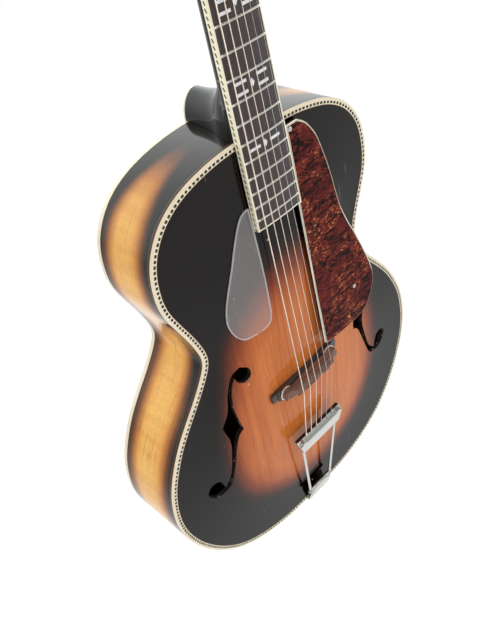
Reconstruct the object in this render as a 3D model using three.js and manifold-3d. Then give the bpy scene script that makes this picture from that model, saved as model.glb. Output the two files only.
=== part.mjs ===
// Archtop guitar with f-holes, a floating two-piece bridge, a hinged trapeze tailpiece and open-back tuners.
// Lengths are millimetres. +Z runs up the neck, the arched top faces -Y and the treble side is +X.
// The origin is the middle of the end pin's flat outer face.
import * as THREE from "three";
import { mergeVertices } from "three/addons/utils/BufferGeometryUtils.js";
import Module from "manifold-3d";

const wasm = await Module();
wasm.setup();

// Clearances and modelling values
const fitGap = 0.3;
const facetAllowance = 0.25;
const cutOverrun = 2;
const weldTolerance = 0.001;
const splineTension = 0.5;

// Body outline, seen from the front
const bodyLength = 511.5;
const lowerBout = 395;
const lowerBoutHeight = 163;
const waist = 228;
const waistSetback = 174.5;
const upperBout = 281;
const upperBoutSetback = 83.5;
const ribDepthTail = 84.6;
const ribDepthNeck = 73.4;

// Outline points as shares of the stretch that they lie in: half width first, then height
const tailShares = [[0, 0], [0.25, 0.01], [0.49, 0.085], [0.7, 0.235], [0.86, 0.47], [0.962, 0.735]];
const lowerShares = [[1, 0], [0.915, 0.27], [0.635, 0.534], [0.275, 0.747], [0.045, 0.897]];
const upperShares = [[0, 0], [0.34, 0.32], [0.868, 0.703]];
const shoulderShares = [[1, 0], [0.961, 0.36], [0.833, 0.67], [0.626, 0.874], [0.327, 0.982], [0, 1]];
const outlineSteps = 2;

// Plates, ribs, bindings, linings and blocks
const plateThickness = 5.3;
const topCrown = 10;
const backCrown = 13;
const archTailShare = 0.42;
const archNeckShare = 0.3;
const spineShares = [0.27, 0.84];
const topRingShares = [0, 0.1, 0.27, 0.5, 0.75, 1];
const backRingShares = [0, 0.14, 0.42, 1];
const ribThickness = 2.6;
const topBindingWidth = 4.4;
const backBindingWidth = 3;
const liningWidth = 5.5;
const liningDepth = 12;
const tailBlockHalf = 46;
const tailBlockLength = 25;
const neckBlockHalf = 38;
const neckBlockLength = 52;
const blockLiningGap = 2;

// Sound holes: each stretch of the edge as shares of the hole's width and length, from its inner lower corner
const soundHoleInner = 66.5;
const soundHoleWidth = 87.4;
const soundHoleSetback = 188.4;
const soundHoleLength = 147.6;
const soundHoleShares = [
  [[0.23, 0.94], [0.29, 0.88], [0.33, 0.79], [0.34, 0.66], [0.29, 0.466]],
  [[0.29, 0.466], [0.38, 0.425], [0.45, 0.33], [0.53, 0.185], [0.63, 0.04], [0.74, 0]],
  [[0.74, 0], [0.89, 0.01], [1, 0.1], [0.93, 0.165], [0.8, 0.148], [0.74, 0.045]],
  [[0.74, 0.045], [0.62, 0.135], [0.54, 0.31], [0.51, 0.44], [0.56, 0.603]],
  [[0.56, 0.603], [0.44, 0.705], [0.37, 0.85], [0.27, 0.967], [0.13, 1]],
  [[0.13, 1], [0.02, 0.945], [0.01, 0.88], [0.09, 0.848], [0.19, 0.88], [0.23, 0.94]],
];
const soundHoleSteps = 2;

// Tone bars under the top
const toneBarWidth = 7;
const toneBarDepth = 15;
const toneBarTipDepth = 4;
const toneBarNeckOffset = 26;
const toneBarTailOffset = 44;
const toneBarLow = 105;
const toneBarSetback = 106.5;
const toneBarSteps = 10;

// Fingerboard and frets
const scaleLength = 628.65;
const octaveFretCount = 12;
const bodyFretCount = 14;
const fretCount = 19;
const boardEndShare = 0.77;
const neckAngleDeg = 4.12;
const boardHeight = 6.5;
const bodyFretInset = 2;
const boardThickness = 6;
const boardRadius = 305;
const boardCrownShares = [-1, -0.6, 0, 0.6, 1];
const fretSpanAtNut = 41.3;
const fretSpanAtLast = 53.3;
const fretHeight = 0.9;
const fretWidth = 2.2;
const fretCrownShare = 0.45;
const boardBindingWidth = 1.5;

// Neck shaft, heel, nut and truss rod
const shaftDepthNut = 14.5;
const shaftDepthHeel = 18;
const shaftArcSteps = 8;
const shaftSteps = 5;
const shaftEndGap = 2.6;
const heelHalfWidth = 27;
const heelReach = 60;
const heelDepthShares = [0.006, 0.042, 0.084, 0.2, 0.28, 0.38, 0.55, 0.78, 1];
const heelHalfShares = [1, 1, 1, 0.97, 0.91, 0.82, 0.71, 0.64, 0.61];
const heelReachShares = [0.08, 0.47, 1, 0.87, 0.7, 0.57, 0.47, 0.42, 0.41];
const heelSideSteps = 8;
const heelNoseSteps = 10;
const heelCapThickness = 2.2;
const nutLength = 5;
const nutCrest = 0.35;
const trussRodRadius = 2.4;
const trussRodDepth = 8.4;
const trussChannelWidth = 5.4;
const trussRodSetback = 3.6;
const trussNutRadius = 3.6;
const trussNutLength = 11;
const trussNutSides = 6;
const trussPocketWidth = 9;
const trussPocketLength = 24;

// Headstock
const headAngleDeg = 13;
const headThickness = 15;
const headLength = 172;
const headHalfWidth = 39;
const headCornerShare = 0.3;
const headHeightShares = [0.01, 0.05, 0.12, 0.19, 0.34, 0.62, 0.88, 0.925, 0.95, 0.975, 0.992, 1];
const headHalfShares = [0.57, 0.585, 0.68, 0.83, 0.88, 0.93, 1, 0.98, 0.7, 0.36, 0.2, 0.06];
const headBlendShares = [0, 0.14];
const coverLength = 40;
const coverHalfWidth = 12;
const coverThickness = 1.8;
const coverSetback = 4;
const coverShares = [[1, 0], [1, 0.06], [0.72, 0.4], [0.42, 0.78], [0.2, 1]];

// Tuners: three on a plate on each side
const postOffset = 24;
const firstPost = 42;
const postSpacing = 35.7;
const sidePostCount = 3;
const postRadius = 3;
const postBoreGap = 0.4;
const postWaistRadius = 2.6;
const postCollarRadius = 4.2;
const postCollarHeight = 4;
const postHeight = 15.5;
const postCapHeight = 2.2;
const postCapRadius = 3.3;
const postTailLength = 1.2;
const postSides = 8;
const tunerPlateThickness = 1.2;
const tunerPlateHalf = 7;
const tunerPlateOverhang = 17;
const gearToothCount = 12;
const gearPitchRadius = 4.4;
const gearTipRadius = 5;
const gearRootRadius = 3.55;
const gearToothShares = [0.2, 0.34];
const gearWidth = 3;
const gearPlateGap = 2.1;
const gearCentreDistance = 6.9;
const wormPitchRadius = 2.5;
const wormTipRadius = 3.05;
const wormRootRadius = 1.75;
const wormTurnCount = 2;
const wormStepsPerTurn = 8;
const wormThreadShares = [0.13, 0.29];
const wormCollarRadius = 2.4;
const wormCollarWidth = 0.7;
const wormPhaseShare = 0.25;
const keyShaftRadius = 1.6;
const keyShaftSides = 8;
const keyBoreGap = 0.3;
const lugThickness = 1.6;
const lugOffset = 5.4;
const lugHalfHeight = 3;
const buttonStart = 44.5;
const buttonLength = 12;
const buttonHalfHeight = 8.5;
const buttonHalfThickness = 3.1;
const buttonSocketDepth = 6;
const buttonSides = 10;
const buttonRingShares = [[0, 0.5], [0.3, 0.9], [0.6, 1], [0.88, 0.86], [1, 0.55]];

// Strings, from the lowest to the highest
const stringDiameters = [1.35, 1.07, 0.81, 0.62, 0.44, 0.36];
const stringSpanNut = 35;
const stringSpanSaddle = 47.4;
const stringSpanTail = 44.4;
const stringNutLift = 0.35;
const stringSides = 5;
const windingTurnCount = 3;
const windingSteps = 10;
const windingGap = 0.7;
const windingPostGap = 0.6;
const windingFootGap = 0.5;
const ballRadius = 1.9;
const ballLength = 3;
const ballSides = 8;

// Bridge
const bridgeSlantDeg = 2.7;
const baseHalfLength = 52;
const baseTop = 14.6;
const baseWidth = 13.5;
const baseTipHalf = 45;
const baseTipWidth = 10.5;
const baseTipDrop = 2.4;
const baseSteps = 8;
const studOffset = 35;
const studRadius = 1.9;
const studSeatDepth = 3;
const studCover = 7.3;
const studSides = 12;
const wheelRadius = 8.5;
const wheelThickness = 2.3;
const wheelBevel = 0.5;
const wheelSides = 18;
const saddleHalfLength = 41;
const saddleWidth = 10;
const saddleArchRise = 2.2;
const saddleArchHalf = 24;
const saddleAction = 3.88;
const saddleCrown = 1.3;
const saddleCrestLength = 1.8;
const saddleFlankDropShare = 0.34;
const saddleFlankShare = 0.86;
const saddleStepLength = 0.6;
const saddleCrests = [-1.9, -1, -0.2, 0.6, -1.4, -0.5];
const saddleEndShares = [[0.64, 0.1], [0.84, 0.28], [1, 0.46]];
const saddleLift = 2.8;

// Tailpiece
const hingeHeight = 23.5;
const hingeLift = 8;
const hingeRadius = 3;
const hingeBoreRadius = 1.5;
const hingePinRadius = 1.2;
const hingeHeadRadius = 2.2;
const hingeHeadLength = 1.2;
const hingeHalfLength = 20.8;
const hingeMiddleHalf = 9;
const hingeSides = 12;
const barBridgeGap = 82.2;
const barLength = 20.5;
const barTailHalf = 31.5;
const barNeckHalf = 37.5;
const barFaceLift = 3.2;
const barSkirt = 3.6;
const barWall = 1.6;
const barSlotClearance = 0.33;
const earOffset = 30.5;
const earRadius = 3.4;
const earReach = 1.2;
const earSides = 10;
const legTopOffset = 28.8;
const legBottomOffset = 18.6;
const legWidth = 4;
const legThickness = 2.8;
const bracketThickness = 1.6;
const bracketTopHalf = 19;
const bracketFootHalf = 12;
const bracketNeckLength = 4.4;
const bracketFootDepth = 56;
const bracketBendRadius = 4;
const bracketBendSteps = 4;
const pinShankRadius = 3.2;
const pinFlangeRadius = 6.5;
const pinFlangeThickness = 1.6;
const pinWaistRadius = 3.8;
const pinButtonRadius = 6;
const pinButtonThickness = 3.4;
const pinFaceRadius = 5.2;
const pinReach = 12;
const pinDepth = 15;
const pinSides = 14;

// Pickguard: its outer edge as shares of its width and length, from its inner lower corner
const guardInner = 27;
const guardBridgeGap = 16.8;
const guardWidth = 92.5;
const guardSetback = 8.5;
const guardShares = [
  [0.02, 0.02], [0.135, 0.004], [0.39, 0], [0.6, 0.002], [0.81, 0.023], [0.96, 0.095], [1, 0.15], [0.985, 0.2],
  [0.9, 0.297], [0.77, 0.42], [0.69, 0.485], [0.6, 0.583], [0.52, 0.75], [0.43, 0.879], [0.366, 0.93],
  [0.28, 0.972], [0.17, 1],
];
const guardSteps = 2;
const guardThickness = 2.4;
const guardNeckLift = 6;
const guardSlopeShare = 0.0555;
const guardBoardGap = 0.5;
const guardPostRise = 43;
const guardPostOffset = 87.5;
const guardPostHalf = 5;

// Clear guard on the bass side: height share, then inner and outer edge as shares of its width
const clearGuardSetback = 59.8;
const clearGuardLength = 131;
const clearGuardInner = 29;
const clearGuardWidth = 50.5;
const clearGuardThickness = 1.3;
const clearGuardSteps = 4;
const clearGuardShares = [
  [0, 0.28, 0.42], [0.012, 0.14, 0.65], [0.04, 0.05, 0.77], [0.115, 0, 0.907], [0.2, 0, 0.98], [0.276, 0, 1],
  [0.375, 0, 0.96], [0.464, 0, 0.883], [0.573, 0, 0.765], [0.684, 0, 0.63], [0.78, 0, 0.52], [0.909, 0, 0.34],
  [0.977, 0, 0.2], [1, 0, 0.05],
];

// Finishes
const finish = {
  spruce: { color: 0xc0703c, roughness: 0.25, metalness: 0 },
  maple: { color: 0x8a4a26, roughness: 0.25, metalness: 0 },
  ivory: { color: 0xf3e6c4, roughness: 0.35, metalness: 0 },
  bareWood: { color: 0xc9a26b, roughness: 0.7, metalness: 0 },
  blackLacquer: { color: 0x17120f, roughness: 0.2, metalness: 0 },
  rosewood: { color: 0x3a2622, roughness: 0.5, metalness: 0 },
  bone: { color: 0xe9e2cd, roughness: 0.45, metalness: 0 },
  nickel: { color: 0xb9bab0, roughness: 0.35, metalness: 0.9 },
  steel: { color: 0x9d9d98, roughness: 0.4, metalness: 0.9 },
  bronze: { color: 0xb98a62, roughness: 0.4, metalness: 0.8 },
  tortoise: { color: 0x4a1f1c, roughness: 0.3, metalness: 0 },
  clear: { color: 0xcdd2d0, roughness: 0.15, metalness: 0 },
};

const radians = THREE.MathUtils.degToRad;
const lerp = THREE.MathUtils.lerp;
const clamp = THREE.MathUtils.clamp;
const vector = (x, y, z) => new THREE.Vector3(x, y, z);
const quarterTurn = Math.PI / 2;

function smooth(value) {
  const t = clamp(value, 0, 1);
  return t * t * (3 - 2 * t);
}

// Evenly spaced values from one end to the other, both included.
function steps(from, to, count) {
  return Array.from({ length: count + 1 }, (_, i) => lerp(from, to, i / count));
}

// A smooth line through points in the plane of the top; closed lines don't repeat their first point.
function smoothLine(points, stepsPerSpan, closed = false) {
  const knots = points.map(([x, z]) => vector(x, 0, z));
  const curve = new THREE.CatmullRomCurve3(knots, closed, "catmullrom", splineTension);
  const spans = closed ? points.length : points.length - 1;
  const line = curve.getPoints(spans * stepsPerSpan).map((p) => new THREE.Vector2(p.x, p.z));
  return closed ? line.slice(0, -1) : line;
}

// Closed meshes

// Welds a list of triangles, drops the ones that have shrunk to a line and turns the shell to face outwards.
function closedGeometry(triangles) {
  const kept = triangles.filter(
    ([a, b, c]) =>
      a.distanceTo(b) > weldTolerance && b.distanceTo(c) > weldTolerance && c.distanceTo(a) > weldTolerance,
  );
  const volume = kept.reduce((sum, [a, b, c]) => sum + a.dot(vector().crossVectors(b, c)), 0);
  const facing = kept.map(([a, b, c]) => (volume < 0 ? [a, c, b] : [a, b, c]));
  const positions = facing.flat().flatMap((p) => p.toArray());
  const bare = new THREE.BufferGeometry();
  bare.setAttribute("position", new THREE.Float32BufferAttribute(positions, 3));
  const welded = mergeVertices(bare, weldTolerance);
  welded.computeVertexNormals();
  return welded;
}

// The same shell from any geometry, such as a lathe or an extrusion.
function closed(geometry) {
  const flat = geometry.index ? geometry.toNonIndexed() : geometry;
  const position = flat.getAttribute("position");
  const corner = (i) => vector().fromBufferAttribute(position, i);
  const triangles = [];
  for (let i = 0; i < position.count; i += 3) triangles.push([corner(i), corner(i + 1), corner(i + 2)]);
  return closedGeometry(triangles);
}

// Covers a ring with triangles that run the ring's own way round: a fan where the middle sees every edge.
function coverRing(triangles, ring, turned) {
  const middle = ring.reduce((sum, p) => sum.add(p), vector(0, 0, 0)).divideScalar(ring.length);
  const fan = ring.map((p, i) => [middle, p, ring[(i + 1) % ring.length]]);
  const faceArea = ([a, b, c]) => vector().crossVectors(b.clone().sub(a), c.clone().sub(a));
  const normal = fan.reduce((sum, face) => sum.add(faceArea(face)), vector(0, 0, 0)).normalize();
  const add = ([a, b, c]) => triangles.push(turned ? [a, c, b] : [a, b, c]);
  if (fan.every((face) => faceArea(face).dot(normal) > 0)) {
    fan.forEach(add);
    return;
  }
  const reach = (p) => p.distanceTo(ring[0]);
  const farthest = ring.reduce((best, p) => (reach(p) > reach(best) ? p : best), ring[0]);
  const across = farthest.clone().sub(ring[0]).normalize();
  const along = vector().crossVectors(normal, across);
  const shape = ring.map((p) => new THREE.Vector2(p.dot(across), p.dot(along)));
  for (const face of THREE.ShapeUtils.triangulateShape(shape, [])) {
    const [a, b, c] = face.map((i) => ring[i]);
    add(faceArea([a, b, c]).dot(normal) > 0 ? [a, b, c] : [a, c, b]);
  }
}

// A solid through a row of rings. The row may close on itself, and its ends may be left bare where they shrink
// to a line.
function loft(rings, { loop = false, covered = true } = {}) {
  const triangles = [];
  const last = loop ? rings.length : rings.length - 1;
  for (let r = 0; r < last; r++) {
    const near = rings[r];
    const far = rings[(r + 1) % rings.length];
    near.forEach((p, i) => {
      const next = (i + 1) % near.length;
      triangles.push([p, near[next], far[next]], [p, far[next], far[i]]);
    });
  }
  if (!loop && covered) {
    coverRing(triangles, rings[0], true);
    coverRing(triangles, rings[rings.length - 1], false);
  }
  return closedGeometry(triangles);
}

// A flat outline in the plane of the top, given depth backwards from its front.
function slab(outline, front, depth) {
  return loft([front, front + depth].map((y) => outline.map((p) => vector(p.x, y, p.y))));
}

// A turned piece: radius and place along its axis, which lies along x, y or z.
function turned(profile, sides, axis) {
  const geometry = new THREE.LatheGeometry(profile.map(([r, at]) => new THREE.Vector2(r, at)), sides);
  if (axis === "x") geometry.rotateZ(-quarterTurn);
  if (axis === "z") geometry.rotateX(quarterTurn);
  return closed(geometry);
}

// A plain round bar between two places on its axis.
function bar(radius, from, to, sides, axis) {
  return turned([[0, from], [radius, from], [radius, to], [0, to]], sides, axis);
}

function box(low, high) {
  const size = high.clone().sub(low);
  const middle = high.clone().add(low).divideScalar(2);
  return closed(new THREE.BoxGeometry(size.x, size.y, size.z)).translate(middle.x, middle.y, middle.z);
}

function solidOf(geometry) {
  const positions = geometry.getAttribute("position");
  return new wasm.Manifold(
    new wasm.Mesh({
      numProp: 3,
      vertProperties: new Float32Array(positions.array),
      triVerts: new Uint32Array(geometry.index.array),
    }),
  );
}

function geometryOf(solid) {
  const { vertProperties, triVerts } = solid.getMesh();
  const geometry = new THREE.BufferGeometry();
  geometry.setAttribute("position", new THREE.BufferAttribute(vertProperties, 3));
  geometry.setIndex(new THREE.BufferAttribute(triVerts, 1));
  geometry.computeVertexNormals();
  return geometry;
}

function joined(...geometries) {
  return geometryOf(geometries.map(solidOf).reduce((sum, next) => sum.add(next)));
}

function without(geometry, ...cutters) {
  return geometryOf(cutters.map(solidOf).reduce((sum, next) => sum.subtract(next), solidOf(geometry)));
}

function place(parent, name, geometry, look) {
  const mesh = new THREE.Mesh(geometry, new THREE.MeshStandardMaterial(look));
  mesh.name = name;
  parent.add(mesh);
  return mesh;
}

// Body outline and its offsets

const waistHeight = bodyLength - waistSetback;
const upperBoutHeight = bodyLength - upperBoutSetback;
const halfOutlinePoints = [
  ...tailShares.map(([a, b]) => [(a * lowerBout) / 2, b * lowerBoutHeight]),
  ...lowerShares.map(([a, b]) => [lerp(waist, lowerBout, a) / 2, lerp(lowerBoutHeight, waistHeight, b)]),
  ...upperShares.map(([a, b]) => [lerp(waist, upperBout, a) / 2, lerp(waistHeight, upperBoutHeight, b)]),
  ...shoulderShares.map(([a, b]) => [(a * upperBout) / 2, lerp(upperBoutHeight, bodyLength, b)]),
];
const bassOutlinePoints = halfOutlinePoints.slice(1, -1).map(([x, z]) => [-x, z]);
const bodyOutline = smoothLine([...halfOutlinePoints, ...bassOutlinePoints.reverse()], outlineSteps, true);
const halfCount = bodyOutline.length / 2;

// The outline moved inwards by the same distance all round.
function insetOutline(inset) {
  return bodyOutline.map((p, i) => {
    const next = bodyOutline[(i + 1) % bodyOutline.length];
    const previous = bodyOutline[(i + bodyOutline.length - 1) % bodyOutline.length];
    const along = next.clone().sub(previous).normalize();
    return new THREE.Vector2(p.x - along.y * inset, p.y + along.x * inset);
  });
}

function between(list, value, key, result) {
  const at = clamp(list.findIndex((p) => p[key] >= value), 1, list.length - 1);
  const a = list[at - 1];
  const b = list[at];
  return lerp(a[result], b[result], clamp((value - a[key]) / (b[key] - a[key]), 0, 1));
}

const trebleOutline = bodyOutline.slice(0, halfCount + 1);
const shoulderOutline = trebleOutline.slice(halfCount - outlineSteps * 2).reverse();
const bodyHalfWidth = (z) => between(trebleOutline, clamp(z, 0, bodyLength), "y", "x");
const shoulderHeight = (x) => between(shoulderOutline, Math.abs(x), "x", "y");
const ribDepth = (z) => lerp(ribDepthTail, ribDepthNeck, z / bodyLength);

// How far a plate rises above its edge.
function archRise(x, z, crown) {
  const share = z / bodyLength;
  const lengthwise = Math.min(smooth(share / archTailShare), smooth((1 - share) / archNeckShare));
  const across = clamp(Math.abs(x) / bodyHalfWidth(z), 0, 1);
  return (crown * lengthwise * (1 + Math.cos(Math.PI * across))) / 2;
}

const topSurface = (x, z) => -archRise(x, z, topCrown);
const topUnderside = (x, z) => plateThickness + topSurface(x, z);
const backSurface = (x, z) => ribDepth(z) + archRise(x, z, backCrown);

// A carved plate: rings that shrink from the edge to a line down the middle, outside and inside.
function carvedPlate(inset, ringShares, outside, inside) {
  const edge = insetOutline(inset);
  const spine = (z) => clamp(z, spineShares[0] * bodyLength, spineShares[1] * bodyLength);
  const ring = (share, surface) =>
    edge.map((p) => {
      const x = lerp(p.x, 0, share);
      const z = lerp(p.y, spine(p.y), share);
      return vector(x, surface(x, z), z);
    });
  const outer = [...ringShares].reverse().map((share) => ring(share, outside));
  const inner = ringShares.map((share) => ring(share, inside));
  return loft([...outer, ...inner], { covered: false });
}

function soundHole(side) {
  const low = waistHeight - soundHoleSetback;
  const edge = soundHoleShares.flatMap((stretch) => {
    const points = stretch.map(([a, b]) => [
      soundHoleInner + a * soundHoleWidth,
      low + b * soundHoleLength,
    ]);
    return smoothLine(points, soundHoleSteps).slice(0, -1);
  });
  const outline = edge.map((p) => new THREE.Vector2(p.x * side, p.y));
  return slab(outline, -topCrown - cutOverrun, topCrown + plateThickness + 2 * cutOverrun);
}

// A strip round the body: each station has its outer and inner edge and its front and back. A lining leaves out
// its inner corner on the side where it tapers.
function stripRing(outer, inner, front, back, taper) {
  const ring = [vector(outer.x, front(outer.y), outer.y)];
  if (taper !== "front") ring.push(vector(inner.x, front(inner.y), inner.y));
  if (taper !== "back") ring.push(vector(inner.x, back(inner.y), inner.y));
  ring.push(vector(outer.x, back(outer.y), outer.y));
  return ring;
}

function edgeStrip(outset, inset, front, back) {
  const outer = insetOutline(outset);
  const inner = insetOutline(inset);
  return loft(outer.map((p, i) => stripRing(p, inner[i], front, back)), { loop: true });
}

// The same strip along one side only, at the stations that the test keeps.
function sideStrip(side, outset, inset, front, back, keep, taper) {
  const outer = insetOutline(outset);
  const inner = insetOutline(inset);
  const rings = [];
  for (let i = 0; i <= halfCount; i++) {
    if (!keep(bodyOutline[i])) continue;
    const sided = [outer[i], inner[i]].map((p) => new THREE.Vector2(Math.max(p.x, fitGap / 2) * side, p.y));
    rings.push(stripRing(sided[0], sided[1], front, back, taper));
  }
  return loft(rings);
}

const ribFront = () => plateThickness + fitGap;
const ribBack = (z) => ribDepth(z) - plateThickness - fitGap;
const liningInset = ribThickness + fitGap;

function blockOutline(halfWidth, innerHeight, keep) {
  const edge = insetOutline(liningInset).filter((p) => keep(p) && Math.abs(p.x) < 2 * halfWidth);
  edge.sort((a, b) => a.x - b.x);
  const corner = (x) => new THREE.Vector2(x, between(edge, x, "x", "y"));
  const against = edge.filter((p) => Math.abs(p.x) < halfWidth);
  const inner = [halfWidth, -halfWidth].map((x) => new THREE.Vector2(x, innerHeight));
  return [corner(-halfWidth), ...against, corner(halfWidth), ...inner];
}

function block(outline) {
  return loft([
    outline.map((p) => vector(p.x, ribFront(), p.y)),
    outline.map((p) => vector(p.x, ribBack(p.y), p.y)),
  ]);
}

function toneBar(side) {
  const toneBarHigh = bodyLength - toneBarSetback;
  const rings = steps(toneBarLow, toneBarHigh, toneBarSteps).map((z) => {
    const share = (z - toneBarLow) / (toneBarHigh - toneBarLow);
    const centre = side * lerp(toneBarTailOffset, toneBarNeckOffset, share);
    const depth = lerp(toneBarTipDepth, toneBarDepth, Math.sin(Math.PI * share));
    const edges = [centre - toneBarWidth / 2, centre + toneBarWidth / 2];
    const seat = (x) => topUnderside(x, z) + fitGap + facetAllowance;
    const foot = Math.max(seat(edges[0]), seat(edges[1])) + depth;
    return [
      vector(edges[0], seat(edges[0]), z),
      vector(edges[1], seat(edges[1]), z),
      vector(edges[1], foot, z),
      vector(edges[0], foot, z),
    ];
  });
  return loft(rings);
}

// The end pin, its hole and the body's box
const pinCentre = ribDepthTail / 2;
const bracketOutside = fitGap + bracketThickness;

function pinHole(far) {
  const hole = bar(pinShankRadius + fitGap, -cutOverrun - bracketOutside, far, pinSides, "z");
  return hole.translate(0, pinCentre, 0);
}

function endPin() {
  const flangeBack = -bracketOutside - fitGap;
  const flangeFront = flangeBack - pinFlangeThickness;
  const buttonBack = -pinReach + pinButtonThickness;
  const bevel = pinButtonRadius - pinFaceRadius;
  const profile = [
    [0, -pinReach],
    [pinFaceRadius, -pinReach],
    [pinButtonRadius, -pinReach + bevel],
    [pinButtonRadius, buttonBack],
    [pinWaistRadius, lerp(buttonBack, flangeFront, 1 / 2)],
    [pinWaistRadius, flangeFront],
    [pinFlangeRadius, flangeFront],
    [pinFlangeRadius, flangeBack],
    [pinShankRadius, flangeBack],
    [pinShankRadius, pinDepth],
    [0, pinDepth],
  ];
  return turned(profile, pinSides, "z").translate(0, pinCentre, 0);
}

function buildBody(part) {
  const plate = carvedPlate(topBindingWidth + fitGap, topRingShares, topSurface, topUnderside);
  place(part, "top_plate", without(plate, soundHole(1), soundHole(-1)), finish.spruce);
  const backInside = (x, z) => backSurface(x, z) - plateThickness;
  const back = carvedPlate(backBindingWidth + fitGap, backRingShares, backSurface, backInside);
  place(part, "back_plate", back, finish.maple);
  const backBindingFront = (z) => ribDepth(z) - plateThickness;
  place(part, "top_binding", edgeStrip(0, topBindingWidth, () => 0, () => plateThickness), finish.ivory);
  place(part, "back_binding", edgeStrip(0, backBindingWidth, backBindingFront, ribDepth), finish.ivory);
  const inner = liningInset + liningWidth;
  const nearTail = (p) => p.y < bodyLength / 2;
  const besideBlocks = (p) => p.x > (nearTail(p) ? tailBlockHalf : neckBlockHalf) + blockLiningGap;
  for (const [word, side] of [["bass", -1], ["treble", 1]]) {
    const rib = sideStrip(side, 0, ribThickness, ribFront, ribBack, () => true);
    place(part, `rib_${word}`, without(rib, pinHole(pinDepth)), finish.maple);
    const lining = (front, back, taper) =>
      sideStrip(side, liningInset, inner, front, back, besideBlocks, taper);
    const topLining = lining(ribFront, () => ribFront() + liningDepth, "back");
    place(part, `lining_top_${word}`, topLining, finish.bareWood);
    const backLining = lining((z) => ribBack(z) - liningDepth, ribBack, "front");
    place(part, `lining_back_${word}`, backLining, finish.bareWood);
    place(part, `tone_bar_${word}`, toneBar(side), finish.bareWood);
  }
  const tailBlock = block(blockOutline(tailBlockHalf, tailBlockLength, nearTail));
  place(part, "tail_block", without(tailBlock, pinHole(pinDepth + fitGap)), finish.bareWood);
  const neckBlock = block(blockOutline(neckBlockHalf, bodyLength - neckBlockLength, (p) => !nearTail(p)));
  place(part, "neck_block", neckBlock, finish.bareWood);
  place(part, "end_pin", endPin(), finish.nickel);
}

// Neck frame: the origin is where the nut meets the board's surface, and +Z runs to the headstock

const neckAngle = radians(neckAngleDeg);
const fretPlace = (fret) => scaleLength * (1 - 2 ** (-fret / octaveFretCount));
const bodyFretHeight = bodyLength - bodyFretInset;
const nutOrigin = vector(
  0,
  -boardHeight + fretPlace(bodyFretCount) * Math.sin(neckAngle),
  bodyFretHeight + fretPlace(bodyFretCount) * Math.cos(neckAngle),
);
const boardEnd = lerp(fretPlace(fretCount), fretPlace(fretCount + 1), boardEndShare);
const boardHalf = (along) => lerp(fretSpanAtNut, fretSpanAtLast, along / fretPlace(fretCount)) / 2;
const boundHalf = (along) => boardHalf(along) + boardBindingWidth;
const neckTop = boardThickness + fitGap;
const trussRodLength = fretPlace(bodyFretCount) - trussRodSetback;

// Drop of the cambered board between its middle and a place beside it.
function camber(x, halfWidth) {
  const drop = (reach) => boardRadius - Math.sqrt(boardRadius ** 2 - reach ** 2);
  return drop(x) - drop(halfWidth);
}

function boardRing(along, lift) {
  const half = boardHalf(along);
  const top = boardCrownShares.map((share) => {
    const x = share * half;
    return vector(x, camber(x, half) - lift, -along);
  });
  return [...top, vector(half, boardThickness, -along), vector(-half, boardThickness, -along)];
}

function fingerboard() {
  const rings = [boardRing(0, 0)];
  for (let fret = 1; fret <= fretCount; fret++) {
    const foot = fretWidth / 2;
    const crown = foot * fretCrownShare;
    for (const [offset, lift] of [[-foot, 0], [-crown, fretHeight], [crown, fretHeight], [foot, 0]]) {
      rings.push(boardRing(fretPlace(fret) + offset, lift));
    }
  }
  rings.push(boardRing(boardEnd, 0));
  return loft(rings);
}

// Binding down both sides of the board and across its end.
function boardBinding() {
  const inner = [];
  const outer = [];
  const add = (side, share, along, reach) => {
    const half = boardHalf(along);
    const innerX = side === 0 ? share * (half + fitGap) : side * (half + fitGap);
    const outerX = side === 0 ? share * (half + boardBindingWidth) : side * (half + boardBindingWidth);
    inner.push([innerX, along + (side === 0 ? fitGap : 0)]);
    outer.push([outerX, along + reach]);
  };
  add(-1, 0, 0, 0);
  for (const share of boardCrownShares) add(0, share, boardEnd, boardBindingWidth);
  add(1, 0, 0, 0);
  const rings = inner.map(([x, along], i) => {
    const [outX, outAlong] = outer[i];
    const top = camber(x, boardHalf(along) + fitGap);
    const low = boardThickness;
    const inner = [vector(x, low, -along), vector(x, top, -along)];
    return [inner[1], vector(outX, top, -outAlong), vector(outX, low, -outAlong), inner[0]];
  });
  return loft(rings);
}

// Strings in the neck frame at the nut
const stringCount = stringDiameters.length;
const stringAcross = (span, i) => span * (i / (stringCount - 1) - 1 / 2);

function stringDepthAtNut(i) {
  const x = stringAcross(stringSpanNut, i);
  return camber(x, boardHalf(0)) - fretHeight - stringNutLift - stringDiameters[i] / 2;
}

function nut() {
  const half = boundHalf(0);
  const crest = stringDiameters.map((_, i) => {
    return [stringAcross(stringSpanNut, i), stringDepthAtNut(i) - nutCrest];
  });
  const slots = stringDiameters.map((diameter, i) => {
    const x = stringAcross(stringSpanNut, i);
    const clear = diameter / 2 + fitGap;
    const low = vector(x - clear, stringDepthAtNut(i) - cutOverrun, -cutOverrun);
    return box(low, vector(x + clear, stringDepthAtNut(i) + clear, nutLength + cutOverrun));
  });
  const edge = [[-half, crest[0][1] + nutCrest], ...crest, [half, crest[stringCount - 1][1] + nutCrest]];
  const outline = [...edge, [half, boardThickness], [-half, boardThickness]];
  const blank = loft([0, nutLength].map((z) => outline.map(([x, y]) => vector(x, y, z))));
  return without(blank, ...slots);
}

// Headstock frame: the origin is where its face starts behind the nut, and the face looks along -Y

const headAngle = radians(headAngleDeg);
const headPlace = new THREE.Matrix4()
  .makeTranslation(0, neckTop, nutLength)
  .multiply(new THREE.Matrix4().makeRotationX(-headAngle));

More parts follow.
